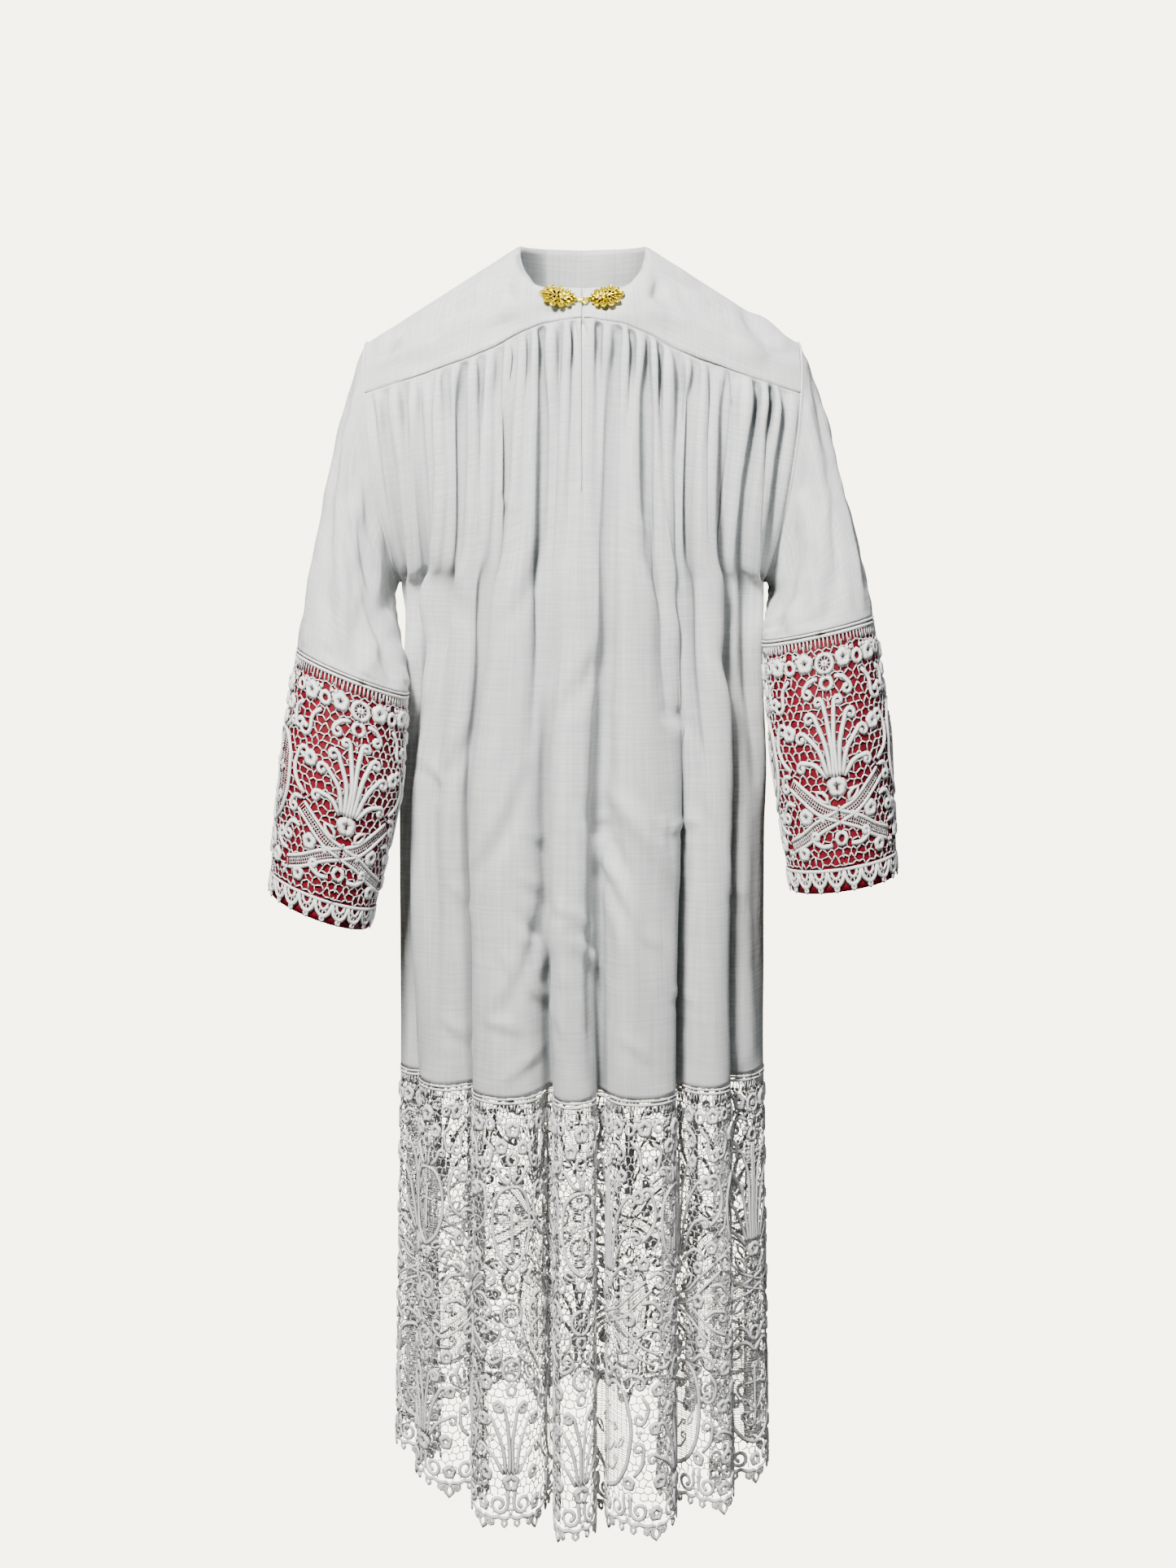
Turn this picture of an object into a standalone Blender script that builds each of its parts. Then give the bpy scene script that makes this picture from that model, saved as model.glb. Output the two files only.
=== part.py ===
"""White lace alb, worn and hollow, with a gilt clasp at the neck.

Metres, +Z up, wearer facing -Y. The origin is between the shoulders at the
height of the sides of the neck. A "drop" is a distance below the origin, and a
side of -1 is the wearer's right (-X), +1 the wearer's left (+X).
"""
import math

import bmesh
import bpy
import numpy as np
from mathutils import Matrix, Vector

# Walls and seams
CLOTH_WALL = 0.0015
LACE_WALL = 0.0016
LINING_WALL = 0.0010
SEAM_GAP = 0.0004
YOKE_SEAM_GAP = 0.0010
RIDGE_GAP = 0.0012
SIDES = {"right": -1, "left": 1}

# Armhole: an upright oval ring at the end of each shoulder
SHOULDER_X = 0.243
SHOULDER_Y = 0.005
ARM_TOP_DROP = 0.102
ARM_HEIGHT = 0.268
ARM_FRONT = 0.085
ARM_BACK = 0.090
ARM_LEAN = 0.035
ARM_LEAN_POWER = 1.6
ARM_GAP_TOP = 0.0012
ARM_GAP_UNDER = 0.0024
YOKE_CORNER = 58

# Body: half width, depths to the outermost folds, and share of the hem's fold depth
BODY_SIZES = (
    # drop, half width, front depth, back depth, fold share
    (0.08, 0.240, 0.112, 0.104, 0.02),
    (0.17, 0.238, 0.128, 0.120, 0.05),
    (0.37, 0.205, 0.150, 0.134, 0.20),
    (0.45, 0.205, 0.156, 0.140, 0.27),
    (0.60, 0.212, 0.166, 0.148, 0.42),
    (0.93, 0.215, 0.188, 0.166, 0.70),
    (1.42, 0.226, 0.216, 0.192, 1.00),
)
SWING_TOP = 60
SWING_FULL = 90
ARM_EDGE_POWER = 8
FOLD_START_DROP = 0.10
FOLD_FULL_DROP = 0.60
FLOUNCE_DROP = 0.93
HEM_DROP = 1.415
HEM_SCALLOP = 0.010
# Rise of the hem at the wearer's right and left side
HEM_RISE = (0.026, 0.006)

# Valleys between the folds, by angle from the panel's middle and depth at the hem
FRONT_VALLEYS = (
    (-90, 0.030), (-68, 0.045), (-42, 0.062), (-12, 0.085),
    (6, 0.066), (36, 0.080), (57, 0.050), (90, 0.030),
)
BACK_VALLEYS = (
    (-90, 0.030), (-50, 0.058), (-17, 0.072), (17, 0.066), (50, 0.060), (90, 0.030),
)
# One fold from valley to valley: share of its width, share of its height
FOLD_PROFILE = (
    (0.03, 0.00), (0.10, 0.42), (0.22, 0.82), (0.40, 1.00),
    (0.60, 1.00), (0.78, 0.82), (0.90, 0.42), (0.97, 0.00),
)

# Rows of the panels beside the armhole
FRONT_ROWS = (
    # armhole angle, drop at the middle, gather height
    (YOKE_CORNER, 0.090, 0.0),
    (66, 0.103, 0.0035),
    (86, 0.146, 0.0030),
    (112, 0.207, 0.0022),
    (138, 0.275, 0.0015),
    (160, 0.325, 0.0008),
    (180, 0.370, 0.0),
)
BACK_ROWS = (
    (YOKE_CORNER, 0.170, 0.0),
    (66, 0.184, 0.0035),
    (86, 0.218, 0.0030),
    (112, 0.264, 0.0020),
    (138, 0.312, 0.0012),
    (160, 0.345, 0.0006),
    (180, 0.370, 0.0),
)
LOWER_DROPS = (0.45, 0.60, 0.76, FLOUNCE_DROP)
FLOUNCE_ROWS = 5
SLIT_ROWS = 4
SLIT_DROP = 0.275
SLIT_HALF = 0.001

# Fall of the front yoke seam: share of the half width, share of the fall
SEAM_FALL = (
    (0.03, 0.0), (0.18, 0.075), (0.30, 0.23), (0.39, 0.385), (0.52, 0.552),
    (0.65, 0.678), (0.77, 0.80), (0.88, 0.897), (1.0, 1.0),
)
# Top edge of a front yoke, from the clasp tab round the neck to the shoulder
FRONT_YOKE_TOP = (
    # share of the seam, x, y, drop
    (0.00, SLIT_HALF, -0.0880, 0.055),
    (0.20, 0.050, -0.0790, 0.052),
    (0.30, 0.065, -0.042, 0.028),
    (0.40, 0.072, 0.004, -0.004),
    (1.00, SHOULDER_X, SHOULDER_Y, ARM_TOP_DROP),
)
BACK_YOKE_TOP = (
    (0.00, 0.000, 0.075, -0.012),
    (0.16, 0.046, 0.060, -0.011),
    (0.30, 0.072, 0.004, -0.004),
    (1.00, SHOULDER_X, SHOULDER_Y, ARM_TOP_DROP),
)
YOKE_ROWS = 3
YOKE_BULGE = 0.018
BULGE_START = 0.35
YOKE_END_POWER = 4

# Sleeves
SLEEVE_ROWS = 7
SLEEVE_START_TOP = (0.42, 0.0, -0.90)
SLEEVE_START_UNDER = (0.45, -0.15, -0.88)
SLEEVE_END = (0.12, -0.20, -0.97)
SLEEVE_FULLNESS = 0.70
CUFF_RINGS = {
    # share, centre x, centre y, centre drop, half width, half depth, tilt
    "right": (
        (0.0, 0.254, -0.090, 0.466, 0.060, 0.070, 0.025),
        (0.45, 0.266, -0.110, 0.580, 0.066, 0.072, 0.023),
        (1.0, 0.288, -0.130, 0.720, 0.055, 0.062, 0.021),
    ),
    "left": (
        (0.0, 0.260, -0.080, 0.420, 0.060, 0.070, 0.014),
        (0.45, 0.273, -0.105, 0.545, 0.066, 0.072, 0.012),
        (1.0, 0.286, -0.128, 0.690, 0.058, 0.062, 0.010),
    ),
}
CUFF_ROWS = 4
CUFF_CELLS = 10
CUFF_SCALLOP = 0.010
CUFF_CLEAR = 0.0018
LINING_BEYOND = 0.006

# Holes in the lace
HOLE_WIDE = 0.013
HOLE_HIGH = 0.020
HOLE_MOST = 0.58
HOLE_LEAST_CELL = 0.010

# Neck clasp
CLASP_OUT = 0.0075
PLATE_LONG = 0.040
PLATE_HIGH = 0.031
PLATE_HALF_THICK = 0.0011
PLATE_ROUND = 0.0004
PLATE_LOBES = 8
LOBE_DEPTH = 0.11
PLATE_POINTS = 32
PLATE_STAND = 0.0013
BOSS_RADIUS = 0.0075
BOSS_HIGH = 0.0042
RING_MIDDLE = 0.0035
RING_RADIUS = 0.0036
RING_WIRE = 0.0010
RING_SIDES = 12
HOOK_WIRE = 0.0009
HOOK_PATH = (
    # along, out from the plate
    (-0.0095, 0.0), (-0.0060, 0.0012), (-0.0025, 0.0027), (0.0012, 0.0030),
    (0.0032, 0.0021), (0.0040, 0.0005), (0.0040, -0.0004),
)
CLASP_ROWS = (1, 2)
CLASP_COLUMNS = (0, 5)
WELD = 0.00001

# Colours: red, green, blue, roughness, metallic
FINISHES = {
    "alb_cloth": (0.86, 0.87, 0.86, 0.80, 0.0),
    "lace": (0.88, 0.88, 0.87, 0.85, 0.0),
    "cuff_lining": (0.42, 0.01, 0.03, 0.45, 0.0),
    "clasp": (0.83, 0.62, 0.18, 0.25, 1.0),
}


def clear_scene():
    for item in list(bpy.data.objects):
        bpy.data.objects.remove(item, do_unlink=True)


def make_collection(name):
    collection = bpy.data.collections.new(name)
    bpy.context.scene.collection.children.link(collection)
    return collection


def make_materials():
    made = {}
    for name, (red, green, blue, rough, metal) in FINISHES.items():
        material = bpy.data.materials.new(name)
        material.use_nodes = True
        shader = material.node_tree.nodes["Principled BSDF"]
        shader.inputs["Base Color"].default_value = (red, green, blue, 1.0)
        shader.inputs["Roughness"].default_value = rough
        shader.inputs["Metallic"].default_value = metal
        made[name] = material
    return made


def column(table, drop, place):
    """Value of one column of a table whose first column is the drop or share."""
    return np.interp(drop, [row[0] for row in table], [row[place] for row in table])


def armhole(angle, side):
    """Point of the armhole: 0 degrees on top, 90 in front, -90 behind."""
    turn = math.radians(angle)
    below = 0.5 * ARM_HEIGHT * (1.0 - math.cos(turn))
    reach = ARM_FRONT if angle > 0 else ARM_BACK
    x = SHOULDER_X - ARM_LEAN * (below / ARM_HEIGHT) ** ARM_LEAN_POWER
    y = SHOULDER_Y * math.cos(0.5 * turn) - reach * math.sin(turn)
    return np.array((side * x, y, -ARM_TOP_DROP - below))


def panel_rows(front):
    """Rows of a body panel: armhole angle or none, drop at the middle, gathers."""
    upper = FRONT_ROWS if front else BACK_ROWS
    return tuple(upper) + tuple((None, drop, 0.0) for drop in LOWER_DROPS)


def fold_columns(valleys):
    """Angle, valley depth and height share of each column across a panel."""
    first, last = valleys[0], valleys[-1]
    columns = [(first[0], first[1], 0.0)]
    for (start, depth_a), (end, depth_b) in zip(valleys, valleys[1:]):
        for share, height in FOLD_PROFILE:
            depth = depth_a if share < 0.5 else depth_b
            columns.append((start + share * (end - start), depth, height))
    columns.append((last[0], last[1], 0.0))
    return np.array(columns)


def even_shares(count):
    """Shares of the half width for evenly spaced columns with the slit between."""
    half = count // 2
    slit = SLIT_HALF / SHOULDER_X
    right = [-(slit + (1.0 - slit) * (half - 1 - step) / (half - 1)) for step in range(half)]
    return np.array(right + [-share for share in reversed(right)])


def panel_row(front, valleys, angle, drop, gather):
    """Points of one row of a panel, from the wearer's right to the left."""
    columns = fold_columns(valleys)
    shares = even_shares(len(columns))
    facing = -1.0 if front else 1.0
    depth = column(BODY_SIZES, drop, 2 if front else 3)
    if angle is None:
        width = column(BODY_SIZES, drop, 1)
        end_y = 0.5 * SEAM_GAP
        end_drop = drop
        swing = math.radians(SWING_FULL)
    else:
        corner = armhole(angle if front else -angle, 1)
        width = corner[0]
        end_y = max(facing * corner[1], 0.5 * SEAM_GAP)
        end_drop = -corner[2]
        opened = (angle - YOKE_CORNER) / (180 - YOKE_CORNER)
        swing = math.radians(SWING_TOP + (SWING_FULL - SWING_TOP) * opened)
    folded = np.interp(drop, (FOLD_START_DROP, FOLD_FULL_DROP), (0.0, 1.0))
    even = np.arcsin(shares * math.sin(swing))
    folded = np.full(len(columns), folded)
    if front and drop <= SLIT_DROP:
        middle = len(columns) // 2
        folded[middle - 1:middle + 1] = 0.0
    turn = (1.0 - folded) * even + folded * columns[:, 0] / SWING_FULL * swing
    x = width * np.sin(turn) / math.sin(swing)
    reach = (np.cos(turn) - math.cos(swing)) / (1.0 - math.cos(swing))
    y = facing * (end_y + (depth - end_y) * reach)
    fall = np.interp(np.abs(x) / width, [row[0] for row in SEAM_FALL], [row[1] for row in SEAM_FALL])
    z = -(drop + (end_drop - drop) * fall)
    normal_x = depth * np.sin(turn)
    normal_y = facing * width * np.cos(turn)
    length = np.hypot(normal_x, normal_y)
    share = column(BODY_SIZES, drop, 4)
    sink = columns[:, 1] * share * (1.0 - columns[:, 2])
    if angle is not None:
        sink = sink * (1.0 - (np.abs(x) / width) ** ARM_EDGE_POWER)
    wave = gather * np.where(np.arange(len(columns)) % 2 == 0, 1.0, -1.0)
    wave[[0, -1]] = 0.0
    move = wave - sink
    x = x + move * normal_x / length
    y = y + move * normal_y / length
    return np.stack((x, y, z), axis=1)


def yoke_grid(top_table, bottom, front, side):
    """Grid of a yoke half: neck and shoulder edge above, gathered seam below."""
    count = len(bottom)
    facing = -1.0 if front else 1.0
    grid = np.zeros((YOKE_ROWS + 1, count, 3))
    for place in range(count):
        share = place / (count - 1)
        ended = share ** YOKE_END_POWER
        top = np.array([column(top_table, share, part) for part in (1, 2, 3)])
        top = np.array((side * top[0], top[1] + facing * 0.5 * RIDGE_GAP, -top[2]))
        corner_angle = YOKE_CORNER if front else -YOKE_CORNER
        for row in range(YOKE_ROWS + 1):
            down = row / YOKE_ROWS
            point = top + (bottom[place] - top) * down
            lift = YOKE_BULGE * math.sin(math.pi * down) * min(1.0, share / BULGE_START)
            bulge = np.array((0.0, facing * lift, lift))
            ring = armhole(corner_angle * down, side)
            edge = top + (bottom[-1] - top) * down
            if place == count - 1:
                ring[1] += facing * 0.5 * RIDGE_GAP * (1.0 - down)
                grid[row, place] = ring + (bottom[-1] - armhole(corner_angle, side)) * down
            else:
                straight = np.array(armhole(0, side)) * (1 - down) + bottom[-1] * down
                grid[row, place] = point + bulge * (1 - ended) + (ring - straight) * ended
    return grid


def cuff_point(side_name, share, angle, inset=0.0):
    """Point of a cuff: 0 degrees outside the arm, 90 in front, 180 inside."""
    turn = math.radians(angle)
    centre_x, centre_y, drop, wide, deep, tilt = (
        column(CUFF_RINGS[side_name], share, part) for part in range(1, 7)
    )
    x = centre_x + (wide - inset) * math.cos(turn)
    y = centre_y - (deep - inset) * math.sin(turn)
    z = -(drop - tilt * math.cos(turn))
    return np.array((SIDES[side_name] * x, y, z))


def sleeve_angles():
    """Angles of the sleeve's columns, shared with the yoke and body rows."""
    yoke = [YOKE_CORNER * row / YOKE_ROWS for row in range(YOKE_ROWS)]
    front = yoke + [row[0] for row in FRONT_ROWS]
    return front + [-angle for angle in reversed(front[1:-1])]


def sleeve_point(side_name, angle, down):
    """Point of a sleeve between the armhole and the cuff seam."""
    side = SIDES[side_name]
    turn = math.radians(angle)
    over = 0.5 * (1.0 + math.cos(turn))
    gap = ARM_GAP_TOP * over + ARM_GAP_UNDER * (1.0 - over)
    start = armhole(angle, side) + np.array((side * gap, 0.0, 0.0))
    end = cuff_point(side_name, 0.0, angle)
    length = np.linalg.norm(end - start) * SLEEVE_FULLNESS
    top = np.array(SLEEVE_START_TOP)
    under = np.array(SLEEVE_START_UNDER)
    leave = (top * over + under * (1.0 - over)) * (side, 1.0, 1.0) * length
    arrive = np.array(SLEEVE_END) * (side, 1.0, 1.0) * length
    square = down * down
    cube = square * down
    return (
        start * (2 * cube - 3 * square + 1)
        + leave * (cube - 2 * square + down)
        + end * (3 * square - 2 * cube)
        + arrive * (cube - square)
    )


def lengthen(rows, amounts):
    """Move the last row of points on, along its own direction from the row above."""
    away = rows[-1] - rows[-2]
    away = away / np.linalg.norm(away, axis=1)[:, None]
    rows[-1] = rows[-1] + away * amounts[:, None]


def hole_shares(cell):
    """Half width and half height of a hole as shares of its cell."""
    wide = np.linalg.norm(cell[2] + cell[3] - cell[0] - cell[1]) / 2
    high = np.linalg.norm(cell[1] + cell[2] - cell[0] - cell[3]) / 2
    if wide < HOLE_LEAST_CELL:
        return None
    return (
        min(HOLE_WIDE / wide, HOLE_MOST) / 2,
        min(HOLE_HIGH / high, HOLE_MOST) / 2,
    )


def add_wall(name, grid, thickness, material, collection, closed=False, missing=(), holed=()):
    """Wall of even thickness on a grid of points, with cells left out or holed."""
    rows, columns = grid.shape[:2]
    shape = bmesh.new()
    corners = [[shape.verts.new(point) for point in row] for row in grid]
    span = columns if closed else columns - 1
    for row in range(rows - 1):
        for place in range(span):
            if (row, place) in missing:
                continue
            after = (place + 1) % columns
            ring = [corners[row][place], corners[row + 1][place],
                    corners[row + 1][after], corners[row][after]]
            cell = [np.array(corner.co) for corner in ring]
            shares = hole_shares(cell) if (row, place) in holed else None
            if shares is None:
                shape.faces.new(ring)
                continue
            wide, high = shares
            inner = []
            for across, down in ((-wide, -high), (-wide, high), (wide, high), (wide, -high)):
                left = cell[0] + (cell[1] - cell[0]) * (0.5 + down)
                right = cell[3] + (cell[2] - cell[3]) * (0.5 + down)
                inner.append(shape.verts.new(left + (right - left) * (0.5 + across)))
            for step in range(4):
                follow = (step + 1) % 4
                shape.faces.new((ring[step], ring[follow], inner[follow], inner[step]))
    loose = [corner for corner in shape.verts if not corner.link_faces]
    bmesh.ops.delete(shape, geom=loose, context="VERTS")
    bmesh.ops.recalc_face_normals(shape, faces=shape.faces)
    mesh = bpy.data.meshes.new(name)
    shape.to_mesh(mesh)
    shape.free()
    mesh.materials.append(material)
    mesh.shade_smooth()
    wall = bpy.data.objects.new(name, mesh)
    collection.objects.link(wall)
    solid = wall.modifiers.new("wall", "SOLIDIFY")
    solid.thickness = thickness
    solid.offset = 0.0
    solid.use_even_offset = True
    return wall


def build_yokes(made, parts):
    """Two front yokes that meet at the clasp, and one back yoke."""
    lift = np.array((0.0, 0.0, YOKE_SEAM_GAP))
    front_seam = panel_row(True, FRONT_VALLEYS, *FRONT_ROWS[0]) + lift
    half = len(front_seam) // 2
    for name, side in SIDES.items():
        bottom = front_seam[half:] if side > 0 else front_seam[:half][::-1]
        grid = yoke_grid(FRONT_YOKE_TOP, bottom, True, side)
        add_wall(f"yoke_front_{name}", grid, CLOTH_WALL, made["alb_cloth"], parts)
    back_seam = panel_row(False, BACK_VALLEYS, *BACK_ROWS[0]) + lift
    half = len(back_seam) // 2
    left = yoke_grid(BACK_YOKE_TOP, back_seam[half:], False, 1)
    right = yoke_grid(BACK_YOKE_TOP, back_seam[:half][::-1], False, -1)
    grid = np.concatenate((right[:, ::-1], left[:, 1:]), axis=1)
    add_wall("yoke_back", grid, CLOTH_WALL, made["alb_cloth"], parts)


def build_body(made, parts):
    """Front and back panels, gathered into the yokes; the front is slit."""
    for name, front, valleys in (("body_front", True, FRONT_VALLEYS), ("body_back", False, BACK_VALLEYS)):
        rows = [panel_row(front, valleys, *row) for row in panel_rows(front)]
        grid = np.array(rows)
        middle = grid.shape[1] // 2 - 1
        slit = {(row, middle) for row in range(SLIT_ROWS)} if front else ()
        add_wall(name, grid, CLOTH_WALL, made["alb_cloth"], parts, missing=slit)


def flounce_grid(front, valleys):
    """Rows of the flounce from its heading to the scalloped hem."""
    top = FLOUNCE_DROP + SEAM_GAP
    rows = []
    for row in range(FLOUNCE_ROWS + 1):
        drop = top + (HEM_DROP - top) * row / FLOUNCE_ROWS
        line = panel_row(front, valleys, None, drop, 0.0)
        side = np.clip(line[:, 0] / line[-1, 0], -1.0, 1.0)
        rise = np.where(side < 0, HEM_RISE[0], HEM_RISE[1]) * side * side
        line[:, 2] += rise * row / FLOUNCE_ROWS
        rows.append(line)
    grid = np.array(rows)
    lengthen(grid, HEM_SCALLOP * (np.arange(grid.shape[1]) % 2))
    return grid


def build_flounce(made, parts):
    """Front and back lace flounces, holed in a brick pattern."""
    for name, front, valleys in (("flounce_front", True, FRONT_VALLEYS), ("flounce_back", False, BACK_VALLEYS)):
        grid = flounce_grid(front, valleys)
        span = grid.shape[1] - 1
        holed = {(row, place) for row in range(FLOUNCE_ROWS) for place in range(span)
                 if (row + place) % 2 == 0 and 0 < place < span - 1}
        add_wall(name, grid, LACE_WALL, made["lace"], parts, holed=holed)


def build_sleeves(made, parts):
    """Plain sleeves from the armholes to the cuff seams."""
    for name in SIDES:
        rows = [[sleeve_point(name, angle, row / SLEEVE_ROWS) for angle in sleeve_angles()]
                for row in range(SLEEVE_ROWS + 1)]
        add_wall(f"sleeve_{name}", np.array(rows), CLOTH_WALL, made["alb_cloth"], parts, closed=True)


def build_cuffs(made, parts):
    """Red lining tubes, and lace in two halves over each."""
    below = np.array((0.0, 0.0, -2 * SEAM_GAP))
    for name in SIDES:
        shares = [row / CUFF_ROWS for row in range(CUFF_ROWS + 1)]
        around = [180.0 * step / CUFF_CELLS for step in range(-CUFF_CELLS, CUFF_CELLS)]
        rows = [[cuff_point(name, share, angle, CUFF_CLEAR) + below for angle in around]
                for share in shares]
        lining = np.array(rows)
        lengthen(lining, np.full(len(around), LINING_BEYOND))
        add_wall(f"cuff_lining_{name}", lining, LINING_WALL, made["cuff_lining"], parts, closed=True)
        for half, facing in (("front", 1), ("back", -1)):
            angles = [180.0 * step / CUFF_CELLS for step in range(CUFF_CELLS + 1)]
            angles[0] = math.degrees(0.5 * SEAM_GAP / CUFF_RINGS[name][0][4])
            angles[-1] = 180.0 - angles[0]
            rows = [[cuff_point(name, share, facing * angle) + below for angle in angles]
                    for share in shares]
            lace = np.array(rows)
            lengthen(lace, CUFF_SCALLOP * (np.arange(len(angles)) % 2))
            holed = {(row, place) for row in range(CUFF_ROWS) for place in range(CUFF_CELLS)
                     if (row + place) % 2 == 0 and 0 < place < CUFF_CELLS - 1}
            add_wall(f"cuff_lace_{name}_{half}", lace, LACE_WALL, made["lace"], parts, holed=holed)


def clasp_place(side):
    """Frame of a clasp plate lying on a front yoke: centre and three axes."""
    front_seam = panel_row(True, FRONT_VALLEYS, *FRONT_ROWS[0])
    half = len(front_seam) // 2
    bottom = front_seam[half:] if side > 0 else front_seam[:half][::-1]
    grid = yoke_grid(FRONT_YOKE_TOP, bottom, True, side)
    above, below = CLASP_ROWS
    inner, outer = CLASP_COLUMNS
    first = 0.5 * (grid[above, inner] + grid[below, inner])
    last = 0.5 * (grid[above, outer] + grid[below, outer])
    across = Vector((last - first) * side).normalized()
    down = Vector(grid[below, inner + 2] - grid[above, inner + 2]).normalized()
    out = down.cross(across).normalized()
    if out.y > 0:
        out = -out
    up = out.cross(across).normalized()
    if up.z < 0:
        up = -up
    return Vector(first), across, up, out


def place_mesh(item, centre, across, up, out):
    """Turn a piece made flat in X and Y so that it lies in the given frame."""
    turn = Matrix((across, up, out)).transposed().to_4x4()
    item.data.transform(Matrix.Translation(centre) @ turn)
    if turn.determinant() < 0:
        item.data.flip_normals()


def plate_outline(side):
    """Lobed leaf outline of a plate, from its inner end outwards."""
    points = []
    for step in range(PLATE_POINTS):
        turn = 2 * math.pi * step / PLATE_POINTS
        lobe = 1.0 + LOBE_DEPTH * math.cos(PLATE_LOBES * turn)
        x = 0.5 * PLATE_LONG * lobe * math.cos(turn)
        y = 0.5 * PLATE_HIGH * lobe * math.sin(turn)
        points.append((side * (x + 0.5 * PLATE_LONG + CLASP_OUT), y, 0.0))
    return points


def curve_to_mesh(name, curve, collection):
    """Mesh object of a curve, with its caps welded."""
    source = bpy.data.objects.new(name + "_curve", curve)
    collection.objects.link(source)
    graph = bpy.context.evaluated_depsgraph_get()
    mesh = bpy.data.meshes.new_from_object(source.evaluated_get(graph))
    bpy.data.objects.remove(source, do_unlink=True)
    shape = bmesh.new()
    shape.from_mesh(mesh)
    bmesh.ops.remove_doubles(shape, verts=shape.verts, dist=WELD)
    bmesh.ops.recalc_face_normals(shape, faces=shape.faces)
    shape.to_mesh(mesh)
    shape.free()
    item = bpy.data.objects.new(name, mesh)
    collection.objects.link(item)
    return item


def join_into(item, other, collection):
    """Fuse another piece into a piece with a live Boolean union."""
    fuse = item.modifiers.new(other.name, "BOOLEAN")
    fuse.operation = "UNION"
    fuse.object = other
    other.hide_render = True
    other.display_type = "WIRE"


def wire(name, points, radius, closed, collection):
    """Round wire along a list of points."""
    curve = bpy.data.curves.new(name, "CURVE")
    curve.dimensions = "3D"
    curve.bevel_depth = radius
    curve.bevel_resolution = 1
    curve.use_fill_caps = not closed
    line = curve.splines.new("POLY")
    line.points.add(len(points) - 1)
    for spot, point in zip(line.points, points):
        spot.co = (*point, 1.0)
    line.use_cyclic_u = closed
    return curve_to_mesh(name, curve, collection)


def build_clasp(made, parts, helpers):
    """Cast leaf plates on the yoke tabs, one with a ring and one with a hook."""
    for name, side in (("clasp_hook_half", -1), ("clasp_eye_half", 1)):
        curve = bpy.data.curves.new(name, "CURVE")
        curve.dimensions = "2D"
        curve.fill_mode = "BOTH"
        curve.extrude = PLATE_HALF_THICK
        curve.bevel_depth = PLATE_ROUND
        curve.bevel_resolution = 0
        line = curve.splines.new("POLY")
        outline = plate_outline(side)
        line.points.add(len(outline) - 1)
        for spot, point in zip(line.points, outline):
            spot.co = (*point, 1.0)
        line.use_cyclic_u = True
        plate = curve_to_mesh(name, curve, parts)
        plate.data.materials.clear()
        plate.data.materials.append(made["clasp"])
        boss_mesh = bpy.data.meshes.new(name + "_boss")
        boss_shape = bmesh.new()
        bmesh.ops.create_uvsphere(boss_shape, u_segments=12, v_segments=6, radius=BOSS_RADIUS)
        bmesh.ops.scale(boss_shape, verts=boss_shape.verts, vec=(1.0, 1.0, BOSS_HIGH / BOSS_RADIUS))
        middle = side * (0.5 * PLATE_LONG + CLASP_OUT)
        bmesh.ops.translate(boss_shape, verts=boss_shape.verts, vec=(middle, 0.0, 0.0))
        floor = -PLATE_HALF_THICK
        cut = bmesh.ops.bisect_plane(
            boss_shape, geom=boss_shape.verts[:] + boss_shape.edges[:] + boss_shape.faces[:],
            plane_co=(0, 0, floor), plane_no=(0, 0, 1), clear_inner=True)
        rim = [edge for edge in cut["geom_cut"] if isinstance(edge, bmesh.types.BMEdge)]
        bmesh.ops.contextual_create(boss_shape, geom=rim)
        boss_shape.to_mesh(boss_mesh)
        boss_shape.free()
        boss = bpy.data.objects.new(name + "_boss", boss_mesh)
        helpers.objects.link(boss)
        if side > 0:
            turns = [2 * math.pi * step / RING_SIDES for step in range(RING_SIDES)]
            spots = [(RING_MIDDLE + RING_RADIUS * math.cos(turn), RING_RADIUS * math.sin(turn), 0.0)
                     for turn in turns]
            link = wire("clasp_ring", spots, RING_WIRE, True, helpers)
        else:
            spots = [(along, 0.0, out) for along, out in HOOK_PATH]
            link = wire("clasp_hook", spots, HOOK_WIRE, False, helpers)
        centre, across, up, out = clasp_place(side)
        centre = centre + out * (0.5 * CLOTH_WALL + PLATE_STAND + PLATE_HALF_THICK)
        for item in (plate, boss, link):
            place_mesh(item, centre, across, up, out)
        join_into(plate, boss, helpers)
        join_into(plate, link, helpers)


def main():
    clear_scene()
    parts = make_collection("lace_alb")
    helpers = make_collection("cutters")
    made = make_materials()
    build_yokes(made, parts)
    build_body(made, parts)
    build_flounce(made, parts)
    build_sleeves(made, parts)
    build_cuffs(made, parts)
    build_clasp(made, parts, helpers)


main()
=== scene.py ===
"""Looks of a white lace alb: thin cloth shells, raised guipure lace and a gilt clasp.

Metres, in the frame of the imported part: +Z up, the front towards -Y, and the
origin between the shoulders. A "drop" is a distance below the origin.
"""
import math
from functools import partial

import bmesh
import bpy
import numpy as np
from mathutils import Matrix, Vector


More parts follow.
